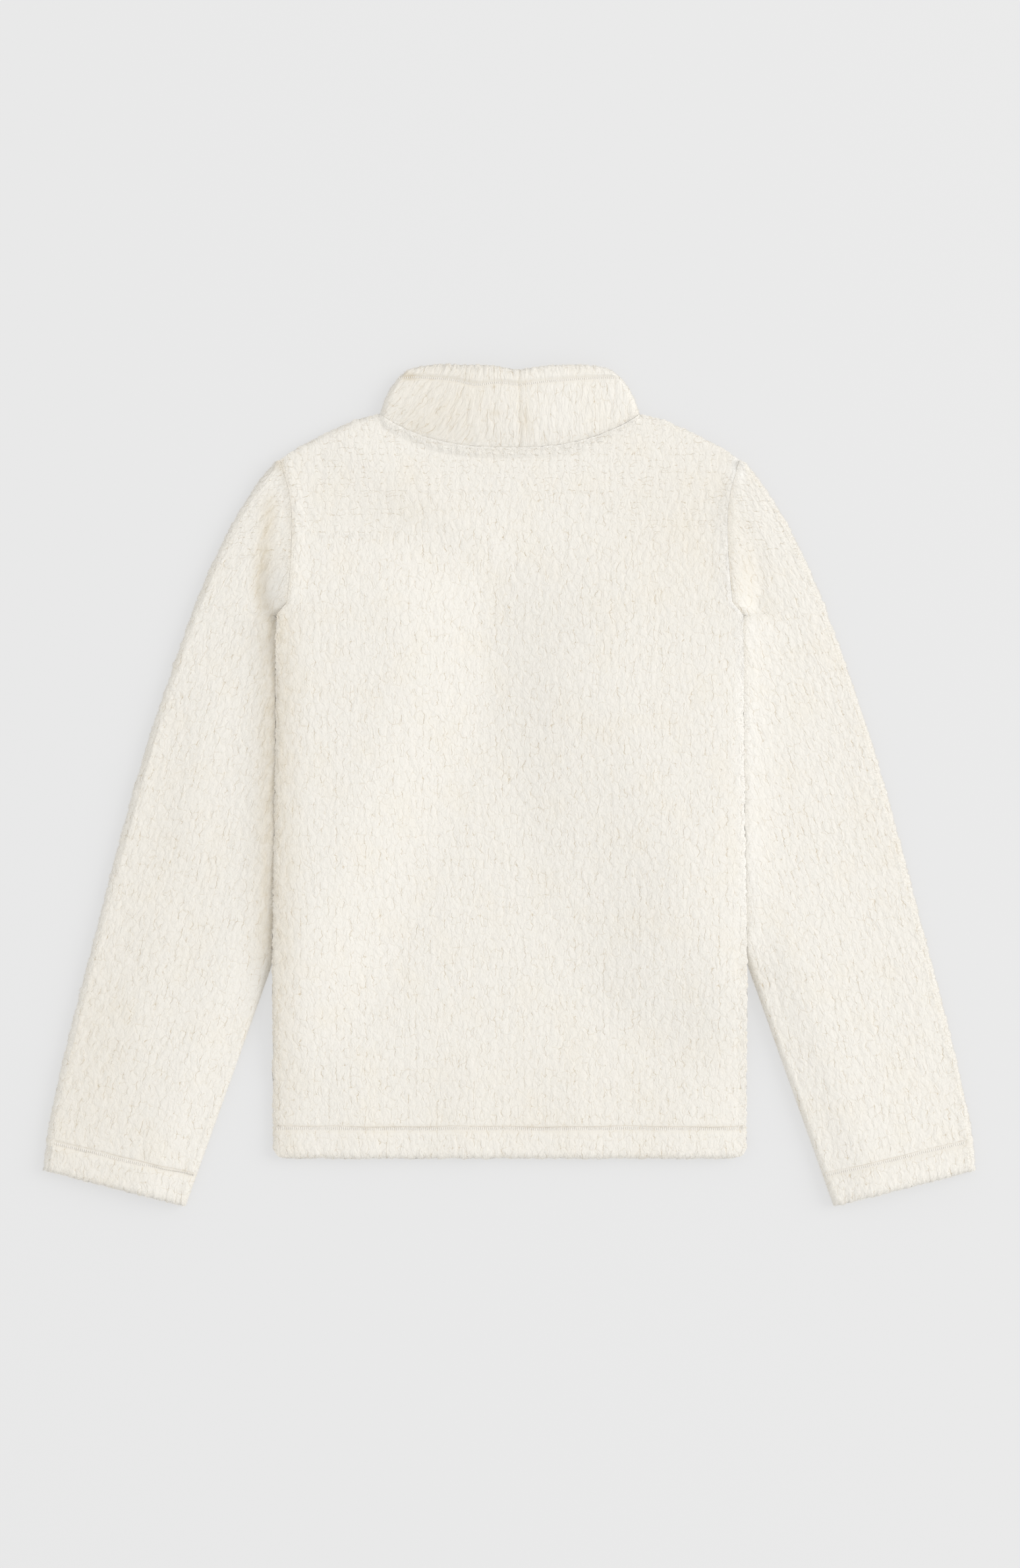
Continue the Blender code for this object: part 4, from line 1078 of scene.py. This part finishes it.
def sleeve_section(section, side, folds):
    """Outer outline of one section, its lining, its place round the sleeve and its marks."""
    inner_x, inner_y, outer_x, outer_y, rise, strip, from_cuff, seam = section
    inner = np.array((inner_x, inner_y))
    outer = np.array((outer_x, outer_y))
    length = np.linalg.norm(outer - inner)
    direction = (outer - inner) / length
    radius = TUBE_HEIGHT / 2
    end_reach = min(radius, END_SHARE * length)
    fold_reach = min(radius, FOLD_SHARE * length)
    strip = edge_place(inner, direction) if rise == 0.0 else strip
    strip = min(max(strip, end_reach * STRIP_LEAST), STRIP_MOST * (length - fold_reach))
    ends = end_reach * np.linspace(0.0, 1.0, SLEEVE_END_POINTS + 1)[:-1] ** 2
    near = np.linspace(end_reach, strip, SLEEVE_NEAR_POINTS)
    far_points = SLEEVE_TOP_POINTS - SLEEVE_END_POINTS - SLEEVE_NEAR_POINTS
    far = np.linspace(strip + STRIP_STEP, length - fold_reach, far_points)
    flat = np.concatenate((ends, near, far))
    from_edge = np.clip(flat / end_reach, 0.0, 1.0)
    round_share = np.sqrt(1.0 - (1.0 - from_edge) ** 2)
    half_gap = SEAM_GAP / 2
    round_high = radius + half_gap + (radius - half_gap) * round_share
    round_slit = radius + half_gap + (SLIT / 2 - half_gap) * round_share
    plan_x, plan_y = (inner[k] + direction[k] * flat for k in range(2))
    swell, under = sleeve_swell(plan_x, plan_y, flat, strip, length, rise, side, folds)
    seam_high = back_lower_face(np.array((side * inner_x,)), np.array((inner_y,)))[0] + CLOTH
    climb = rise * (seam_high - TUBE_HEIGHT) * (1.0 - np.clip(flat / strip, 0.0, 1.0) ** 2) ** 2
    high = seam * TUBE_HEIGHT + (1.0 - seam) * round_high + swell + climb
    slit_top = seam * (CLOTH + SLIT) + (1.0 - seam) * round_slit + swell
    edge = rounded(from_cuff, CUFF_ROUND)
    high = slit_top + (high - slit_top + band(from_cuff, HEM_BAND) * round_share) * edge

    angles = np.linspace(0.5 * math.pi, -0.5 * math.pi, SLEEVE_FOLD_POINTS + 2)[1:-1]
    fold_along = length - fold_reach + fold_reach * np.cos(angles)
    fold_high = radius + (radius * (0.55 + 0.45 * edge)) * np.sin(angles)
    core_along = length - fold_reach + SLIT / 2 * np.cos(angles)
    core_high = radius + SLIT / 2 * np.sin(angles)

    under_points = SLEEVE_BOTTOM_POINTS - SLEEVE_END_POINTS
    bottom = np.concatenate((np.linspace(length - fold_reach, end_reach, under_points), ends[::-1]))
    from_end = np.clip(bottom / end_reach, 0.0, 1.0)
    low_share = np.sqrt(1.0 - (1.0 - from_end) ** 2)
    low = (1.0 - seam) * (radius - half_gap) * (1.0 - low_share)
    low = CLOTH - (CLOTH - low) * edge
    low_slit = seam * CLOTH + (1.0 - seam) * (radius - half_gap - (SLIT / 2 - half_gap) * low_share)
    inset = (1.0 - seam) * CLOTH
    slit_flat = flat + inset * (1.0 - from_edge)
    bottom_slit = bottom + inset * (1.0 - from_end)

    outline = np.concatenate((flat, fold_along, bottom)), np.concatenate((high, fold_high, low))
    lining_along = np.concatenate((slit_flat, core_along, bottom_slit))
    lining = lining_along, np.concatenate((slit_top, core_high, low_slit))
    outside, inside = (
        points(side * (inner[0] + direction[0] * distance), inner[1] + direction[1] * distance, height)
        for distance, height in (outline, lining)
    )
    fringe = lumps(outline[0], 4) * bell(from_cuff, LUMP_REACH)
    bulging = np.cos(angles) ** 2
    in_fold = np.concatenate((np.zeros(SLEEVE_TOP_POINTS), bulging, np.zeros(SLEEVE_BOTTOM_POINTS)))
    bulge = lumps(np.array((inner_y + outer_y,)) / 2.0, 5)[0] * in_fold
    outside[:, 0] += side * (direction[1] * fringe + direction[0] * bulge)
    outside[:, 1] += direction[1] * bulge - direction[0] * fringe
    arc = fold_reach * (0.5 * math.pi - angles)
    place = np.concatenate((flat - length, arc - fold_reach, 1.2 * arc[-1] + length - bottom))

    hidden = np.zeros(SLEEVE_BOTTOM_POINTS)
    free = (1.0 - 0.9 * under) * smooth(flat / SEAM_REACH + SEAM_LEFT) * groove_cover(from_cuff, HEM_BAND)
    folded = np.full(SLEEVE_FOLD_POINTS, groove_cover(from_cuff, HEM_BAND)) * smooth((angles + 1.1) / 1.2)
    cover = np.concatenate((free, folded, hidden)) * (1.0 + EDGE_PILE * bell(from_cuff, EDGE_PILE_REACH))
    around = np.concatenate((near_edge((length - flat) / 1.5), near_edge(4.0 * MM * angles), hidden))
    # Painted shade, and painted highlight where below 0, with painted shade in the cuff's ladder groove
    painted_shade = sleeve_painted_shading(plan_x, plan_y, flat, strip, side, rise)
    painted_shading = np.concatenate((painted_shade, np.zeros(SLEEVE_FOLD_POINTS + SLEEVE_BOTTOM_POINTS)))
    edges = near_edge(plan_x - along(BODY_SIDE, plan_y)) * (1.0 - under) + near_edge(flat) * (1.0 - under)
    edges = edges + near_edge(length - flat - 0.5 * fold_reach) + near_edge(from_cuff)
    fold_fuzz = smooth((angles + 0.25) / 0.3)
    marks = {
        "pile_cover": cover * (1.0 + EDGE_PILE * around),
        "pile_hollow": painted_shading + float(ladder_painted_shading(from_cuff, HEM_BAND)),
        "pile_fuzz": np.concatenate((fuzz_share(edges) * (1.0 - under), fold_fuzz, hidden)),
        "pile_turn": np.full(cover.shape, float(rising(inner_y, SLEEVE_TURN))),
    }
    return outside, inside, place, marks


def sleeve_painted_shading(x, y, flat, strip, side, rise):
    """Painted shade and highlight on a sleeve: shade beside the body on the left and highlight on the right,
    shade at the head and its seam, and spots of either.
    """
    beside = bell(np.maximum(x - along(BODY_SIDE, y), 0.0), VALLEY_REACH) * rising(y, VALLEY_BEGINS)
    below_ridge = bell(flat - HEAD_VALLEY_AT * strip, HEAD_VALLEY_REACH) * rising(y, HEAD_VALLEY_ENDS)
    # Painted shade beside the body on the left sleeve, painted highlight on the right one
    depth = LEFT_VALLEY_SHADE if side < 0.0 else RIGHT_VALLEY_HIGHLIGHT
    painted_shading = depth * beside * (1.0 - rise) + max(depth, 0.0) * below_ridge * rise
    painted_shading = painted_shading + HEAD_SEAM_SHADE * rise * bell(flat, HEAD_SEAM_REACH)
    spots = shading_spots(-x, y, LEFT_SLEEVE_SHADE_SPOTS) if side < 0.0 else shading_spots(x, y, RIGHT_HEAD_SHADING_SPOTS) * rise
    return np.clip(painted_shading + spots, -1.0, 1.0)


def shell_sleeve(name, side):
    """Fine shell of one sleeve."""
    sections, steps = sleeve_sections(SLEEVE_ROWS)
    made = [sleeve_section(section, side, SLEEVE_FOLDS[name]) for section in sections]
    outline, lining = (np.array([row[k] for row in made]) for k in range(2))
    places = [
        np.stack((row[2] * side + side, np.full(row[2].shape, -step)), axis=-1)
        for row, step in zip(made, steps)
    ]
    marks = {label: np.array([row[3][label] for row in made]) for label in made[0][3]}
    return shell(name + "_cloth", outline, lining, np.array(places), marks, flip=side > 0.0)


def collar_y(x, side, lowest, height):
    """Height of a collar ring between its neck seam and its top edge."""
    seam = neck_line(x * NECK_HALF / side, lowest) + SEAM_GAP / 2
    dip = COLLAR_DIP * np.exp(-np.abs(x - COLLAR_SEAM_X) / COLLAR_DIP_REACH)
    top = COLLAR_TOP_Y - COLLAR_CORNER_DROP * np.abs(x / side) ** COLLAR_CORNER_POWER - dip
    return seam + (top - seam) * height


def collar_sag(x):
    """How far the collar's stitching sags at x."""
    return COLLAR_SAG * bell(x - COLLAR_SAG_X, COLLAR_SAG_REACH)


def collar_ring(from_top):
    """One ring of the collar at a share of its height below the top edge."""
    height = 1.0 - from_top
    side = np.interp(height, COLLAR_HEIGHTS, COLLAR_HALF_WIDTHS) * MM
    radius = TUBE_HEIGHT / 2
    ends = radius * np.linspace(0.0, 1.0, END_POINTS + 1)[:-1] ** 2
    middle = np.linspace(-side + radius, side - radius, COLLAR_HALF + 1 - 2 * END_POINTS)
    x = np.concatenate((-side + ends, middle, side - ends[::-1]))
    reach = np.clip(np.minimum(x + side, side - x) / radius, 0.0, 1.0)
    share = np.sqrt(1.0 - (1.0 - reach) ** 2)
    inner_x = x - np.sign(x) * CLOTH * (1.0 - reach)
    depth = (COLLAR_TOP_Y - BACK_NECK_Y) * from_top
    edge = rounded(depth, COLLAR_EDGE_ROUND)
    from_stitch = depth - collar_sag(x)
    middle_seam = COLLAR_SEAM_GROOVE * bell(x - COLLAR_SEAM_X, GROOVE_HALF)
    full = CLOTH + COLLAR_CROWN * math.sin(math.pi * from_top) + band(from_stitch, COLLAR_BAND) - middle_seam
    outline, lining, places, covers = [], [], [], []
    for lowest, sign in ((BACK_NECK_Y, 1.0), (FRONT_NECK_Y, -1.0)):
        thick = full * edge if sign > 0.0 else np.full_like(x, CLOTH * edge)
        arch = np.cos(0.5 * math.pi * x / side) * smooth(height / COLLAR_DOME_FROM_SEAM)
        dome = COLLAR_DOME * arch if sign > 0.0 else 0.0
        outer_z = radius + sign * (SLIT / 2 + thick) * share + dome
        inner_z = radius + sign * SLIT / 2 * share + dome
        y = collar_y(x, side, lowest, height)
        outer_row = points(x, y, outer_z)
        inner_row = points(inner_x, collar_y(inner_x, side, lowest, height), inner_z)
        seam_free = smooth((y - neck_line(x, BACK_NECK_Y)) / SEAM_REACH + SEAM_LEFT)
        cover = groove_cover(from_stitch, COLLAR_BAND) * seam_free
        cover = cover if sign > 0.0 else np.zeros_like(x)
        place = collar_place(x, y, sign)
        if sign < 0.0:
            turn = slice(-2, 0, -1)
            outer_row, inner_row, place, cover = outer_row[turn], inner_row[turn], place[turn], cover[turn]
        outline.append(outer_row)
        lining.append(inner_row)
        places.append(place)
        covers.append(cover)
    return [np.concatenate(rows) for rows in (outline, lining, places, covers)]


def collar_place(x, y, sign):
    """Place on the collar's cloth: the nap stands on the right and is combed sideways on the left."""
    lean = COLLAR_LEAN * rising(x, COLLAR_COMBED)
    from_x, from_y = x - COMB_MIDDLE[0], y - COMB_MIDDLE[1]
    across = from_x * np.cos(lean) - from_y * np.sin(lean)
    upwards = from_x * np.sin(lean) + from_y * np.cos(lean)
    return np.stack((COMB_STRETCH[0] * across + PLIES_APART * sign, COMB_STRETCH[1] * upwards), axis=-1)


def shell_collar():
    """Fine shell of the collar."""
    made = [collar_ring(share) for share in np.linspace(1.0, 0.0, COLLAR_RINGS)]
    outline, lining, places, covers = (np.array([ring[k] for ring in made]) for k in range(4))
    x, y, z = outline[..., 0], outline[..., 1], outline[..., 2]
    above = z > TUBE_HEIGHT / 2
    from_top = np.linspace(1.0, 0.0, COLLAR_RINGS)[:, None] * (COLLAR_TOP_Y - BACK_NECK_Y) + 0.0 * x
    from_seam = y - neck_line(x, BACK_NECK_Y)
    # Painted shade in spots, painted highlight along the neck seam, painted shade in the ladder's groove
    painted_shading = shading_spots(x, y, COLLAR_SHADING_SPOTS) + NECK_HIGHLIGHT * bell(from_seam, COLLAR_TINT_REACH)
    painted_shading = np.clip(painted_shading, -1.0, 1.0) + ladder_painted_shading(from_top - collar_sag(x), COLLAR_BAND)
    edges = near_edge(from_seam) + near_edge(from_top) + near_edge(abs(x) - abs(x[:, :1]))
    marks = {
        "pile_cover": covers * (1.0 + EDGE_PILE * bell(from_top, EDGE_PILE_REACH)),
        "pile_hollow": np.where(above, painted_shading, 0.0),
        "pile_fuzz": np.where(above, fuzz_share(edges), 0.0),
    }
    outline[..., 1] += lumps(x, 6) * bell(from_top, LUMP_REACH)
    return shell("collar_cloth", outline, lining, places, marks, closed=True)


def laid_on(piece, x, y, sink=STITCH_SINK):
    """A path over a finished cloth: its height is found by looking down on the pile."""
    graph = bpy.context.evaluated_depsgraph_get()
    cloth = BVHTree.FromObject(piece, graph)
    down = mathutils.Vector((0.0, 0.0, -1.0))
    high = [cloth.ray_cast(mathutils.Vector((a, b, 1.0)), down)[0] for a, b in zip(x, y)]
    found = np.array([k is not None for k in high])
    z = np.array([k.z for k in high if k is not None])
    level = np.convolve(np.pad(z, 3, mode="edge"), np.full(7, 1.0 / 7.0), mode="valid")
    return points(x[found], y[found], level - sink)


def sewn_line(name, path, across, settings, length):
    """Sews one line of stitching along a path."""
    mesh = bpy.data.meshes.new(name)
    mesh.from_pydata(path.tolist(), [(k, k + 1) for k in range(len(path) - 1)], [])
    held = mesh.attributes.new("across", "FLOAT_VECTOR", "POINT")
    held.data.foreach_set("vector", np.tile(np.array(across, dtype=np.float32), len(path)))
    values = {
        "Pitch": STITCH_PITCH,
        "Stitch Length": length,
        "Thread": STITCH_THREAD,
        "Yarn": plain_yarn(name + "_yarn", settings.yarn_colour),
        "Line": plain_yarn(name + "_line", settings.line_colour),
    }
    tree = bpy.data.node_groups.get("stitch_ladder") or ladder_tree("stitch_ladder")
    piece = grow(linked(name, mesh), tree, values)
    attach(piece, "root")


def wave(count, height, turns):
    """How far a seam wanders on thick pile, for the points of its path."""
    walked = np.linspace(0.0, 2.0 * math.pi * turns, count)
    return height * (np.sin(walked) + 0.6 * np.sin(2.7 * walked + 1.0))


def dress(piece, node, settings):
    """Grows the pile on a shell, hangs it under the root and hides its solid."""
    colours = (settings.tip_colour, settings.gap_shade_colour, settings.painted_shade_colour, settings.painted_highlight_colour)
    cloth = pile_cloth(node + "_pile", *(tuple(colour) + (1.0,) for colour in colours))
    values = {"Pile Depth": settings.pile_depth, "Sunk": settings.pile_sunk, "Cloth": cloth}
    grow(piece, bpy.data.node_groups.get("sherpa_pile") or pile_tree("sherpa_pile"), values)
    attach(piece, "root")
    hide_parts(node)


def fluff(piece, node, settings):
    """Stands loose fibres on a finished cloth."""
    values = {
        "Density": FIBRE_DENSITY,
        "Fibre Length": FIBRE_LENGTH,
        "Fibre Width": FIBRE_WIDTH,
        "Fibre": plain_yarn(node + "_fuzz", settings.fibre_colour),
    }
    loose = linked(node + "_fuzz", piece.data.copy())
    grow(loose, bpy.data.node_groups.get("loose_fibres") or fuzz_tree("loose_fibres"), values)
    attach(loose, "root")


def colour_setting(name, description, default):
    """A colour that a user may change."""
    return bpy.props.FloatVectorProperty(
        name=name, description=description, default=default, size=3, subtype="COLOR"
    )


class PullSettings(bpy.types.PropertyGroup):
    """Sizes and colours of the cloth that a user would change."""

    pile_depth: bpy.props.FloatProperty(
        name="Pile depth",
        description="Height of the curls over the gaps between them",
        default=0.9 * MM,
        unit="LENGTH",
    )
    pile_sunk: bpy.props.FloatProperty(
        name="Pile sunk",
        description="Share of the pile's depth that lies below the cloth's outline",
        default=0.72,
        subtype="FACTOR",
    )
    tip_colour: colour_setting("Pile colour", "Colour of the curls' crowns", (0.797, 0.77, 0.713))
    # Colour of the painted shade deep in the gaps between curls
    gap_shade_colour: colour_setting("Gap colour", "Colour deep between the curls", (0.6, 0.525, 0.41))
    # Colour of the painted shade in set places: sides, valleys, seams and spots
    painted_shade_colour: colour_setting("Pressed colour", "Colour of pile pressed together", (0.64, 0.57, 0.45))
    # Colour of the painted highlight in set places on the lit side
    painted_highlight_colour: colour_setting("Brushed colour", "Colour of pile that is brushed up", (0.9, 0.88, 0.84))
    fibre_colour: colour_setting("Fibre colour", "Colour of the loose fibres", (0.88, 0.86, 0.82))
    yarn_colour: colour_setting("Yarn colour", "Colour of the stitching", (0.80, 0.77, 0.72))
    line_colour: colour_setting("Seam line colour", "Colour of the line at the stitches", (0.73, 0.67, 0.59))
    floor_colour: colour_setting("Floor colour", "Colour of the pale surface", (0.25, 0.25, 0.25))
    floor_glow: bpy.props.FloatProperty(
        name="Floor glow",
        description="Light from within the surface, as from a light table",
        default=0.535,
    )
    softbox_power: bpy.props.FloatProperty(
        name="Softbox power",
        description="Power of the light on the right",
        default=296.0,
        unit="POWER",
    )


class PULL_OT_front(bpy.types.Operator):
    """Lay the front panel on the surface"""

    bl_idname = "pullover.front"
    bl_label = "Front panel"

    def execute(self, context):
        dress(shell_front(*FRONT_GRID), "front", context.scene.pullover)
        return {"FINISHED"}


class PULL_OT_back(bpy.types.Operator):
    """Lay the back panel over the front"""

    bl_idname = "pullover.back"
    bl_label = "Back panel"

    def execute(self, context):
        settings = context.scene.pullover
        piece = shell_back(*BACK_GRID)
        dress(piece, "back", settings)
        fluff(piece, "back", settings)
        return {"FINISHED"}


class PULL_OT_sleeves(bpy.types.Operator):
    """Lay both sleeves beside and under the body"""

    bl_idname = "pullover.sleeves"
    bl_label = "Sleeves"

    def execute(self, context):
        settings = context.scene.pullover
        for name, side in (("sleeve_left", -1.0), ("sleeve_right", 1.0)):
            piece = shell_sleeve(name, side)
            dress(piece, name, settings)
            fluff(piece, name, settings)
        return {"FINISHED"}


class PULL_OT_collar(bpy.types.Operator):
    """Lay the stand collar flat above the neck seam"""

    bl_idname = "pullover.collar"
    bl_label = "Collar"

    def execute(self, context):
        settings = context.scene.pullover
        piece = shell_collar()
        dress(piece, "collar", settings)
        fluff(piece, "collar", settings)
        return {"FINISHED"}


class PULL_OT_stitching(bpy.types.Operator):
    """Sew the hem, the cuffs, the collar and the neck"""

    bl_idname = "pullover.stitching"
    bl_label = "Stitching"

    def execute(self, context):
        settings = context.scene.pullover
        cloths = {node: bpy.data.objects[node + "_cloth"] for node in SHEETS}
        up = (0.0, 1.0, STITCH_TILT)
        side = along(BODY_SIDE, HEM_Y) - SIDE_CLEAR
        x = np.linspace(-side, side, 240)
        path = laid_on(cloths["back"], x, HEM_Y + HEM_BAND + wave(x.size, 0.4 * MM, 3.0))
        sewn_line("hem_stitch", path, up, settings, HEM_STITCH)
        sections, _ = sleeve_sections(SLEEVE_ROWS)
        cuff = sections[np.argmin(abs(sections[:, 6] - HEM_BAND) + sections[:, 4])]
        slant = np.array((cuff[2] - cuff[0], cuff[3] - cuff[1]))
        slant = slant / np.linalg.norm(slant)
        for name, side in (("sleeve_left", -1.0), ("sleeve_right", 1.0)):
            made = sleeve_section(cuff, side, SLEEVE_FOLDS[name])[0][4 : SLEEVE_TOP_POINTS - 2]
            path = laid_on(cloths[name], made[:, 0], made[:, 1] + wave(len(made), 0.3 * MM, 1.5))
            across = (-side * slant[1], slant[0], STITCH_TILT)
            sewn_line(name + "_stitch", path, across, settings, HEM_STITCH)
        ring = collar_ring(COLLAR_BAND / (COLLAR_TOP_Y - BACK_NECK_Y))[0][5 : COLLAR_HALF - 4]
        y = ring[:, 1] - collar_sag(ring[:, 0]) + wave(len(ring), 0.3 * MM, 1.0)
        path = laid_on(cloths["collar"], ring[:, 0], y)
        sewn_line("collar_stitch", path, up, settings, COLLAR_STITCH)
        x = np.linspace(NECK_CLEAR - NECK_HALF, NECK_HALF - NECK_CLEAR, 160)
        y = neck_line(x, BACK_NECK_Y) - NECK_BAND + wave(x.size, 0.6 * MM, 4.0)
        path = laid_on(cloths["back"], x, y, NECK_SINK)
        sewn_line("neck_stitch", path, up, settings, NECK_STITCH)
        return {"FINISHED"}


def photo_point(x, y, z=0.0):
    """A place on the surface from a place in the photograph."""
    across = (x - PHOTO_WIDTH / 2) * PIXEL + PHOTO_MIDDLE_X
    return (across, (PHOTO_HEIGHT / 2 - y) * PIXEL + PHOTO_MIDDLE_Y, z)


class PULL_OT_stage(bpy.types.Operator):
    """Add the pale floor, the soft light and the camera above"""

    bl_idname = "pullover.stage"
    bl_label = "Stage"

    def execute(self, context):
        scene = context.scene
        bpy.ops.mesh.primitive_plane_add(size=FLOOR_SIZE, location=(0.0, 0.0, -FLOOR_DROP))
        floor = context.object
        floor.name = "floor"
        pale, _, shader = new_material("pale_floor", 0.9, 0.0, 0.0)
        shader.inputs["Base Color"].default_value = tuple(scene.pullover.floor_colour) + (1.0,)
        shader.inputs["Emission Color"].default_value = (1.0, 1.0, 1.0, 1.0)
        shader.inputs["Emission Strength"].default_value = scene.pullover.floor_glow
        floor.data.materials.append(pale)

        light = bpy.data.lights.new("softbox", "AREA")
        light.shape = "DISK"
        light.size = SOFTBOX_SIZE
        light.energy = scene.pullover.softbox_power
        lamp = bpy.data.objects.new("softbox", light)
        lamp.rotation_euler = SOFTBOX_TURN
        away = mathutils.Vector((0.0, 0.0, SOFTBOX_DISTANCE))
        lamp.location = mathutils.Euler(SOFTBOX_TURN).to_matrix() @ away
        scene.collection.objects.link(lamp)

        world = bpy.data.worlds.new("soft_room")
        world.use_nodes = True
        sky = world.node_tree.nodes["Background"]
        sky.inputs["Color"].default_value = (1.0, 1.0, 1.0, 1.0)
        sky.inputs["Strength"].default_value = ROOM_LIGHT
        scene.world = world
        scene.view_settings.view_transform = "Standard"

        camera = bpy.data.cameras.new("above")
        camera.sensor_fit = "VERTICAL"
        camera.sensor_height = SENSOR
        camera.lens = SENSOR * CAMERA_HEIGHT / (PHOTO_HEIGHT * PIXEL)
        viewer = bpy.data.objects.new("above", camera)
        middle = photo_point(PHOTO_WIDTH / 2, PHOTO_HEIGHT / 2)
        viewer.location = (middle[0], middle[1], CAMERA_HEIGHT)
        scene.collection.objects.link(viewer)
        scene.camera = viewer
        return {"FINISHED"}


class PULL_PT_panel(bpy.types.Panel):
    """Buttons for the pullover's pieces"""

    bl_idname = "PULL_PT_panel"
    bl_label = "Pile pullover"
    bl_space_type = "VIEW_3D"
    bl_region_type = "UI"
    bl_category = "Pullover"

    def draw(self, context):
        for name in PullSettings.__annotations__:
            self.layout.prop(context.scene.pullover, name)
        for operator in OPERATORS:
            self.layout.operator(operator.bl_idname)


OPERATORS = (PULL_OT_stage, PULL_OT_front, PULL_OT_back, PULL_OT_sleeves, PULL_OT_collar, PULL_OT_stitching)
CLASSES = (PullSettings,) + OPERATORS + (PULL_PT_panel,)


def register():
    """Makes the classes and the settings known to Blender."""
    for item in CLASSES:
        bpy.utils.register_class(item)
    bpy.types.Scene.pullover = bpy.props.PointerProperty(type=PullSettings)


def unregister():
    """Takes them away again."""
    del bpy.types.Scene.pullover
    for item in reversed(CLASSES):
        bpy.utils.unregister_class(item)


def main():
    """Builds the pullover and its stage."""
    register()
    bpy.ops.pullover.stage()
    bpy.ops.pullover.front()
    bpy.ops.pullover.back()
    bpy.ops.pullover.sleeves()
    bpy.ops.pullover.collar()
    bpy.ops.pullover.stitching()


if __name__ == "__main__":
    main()
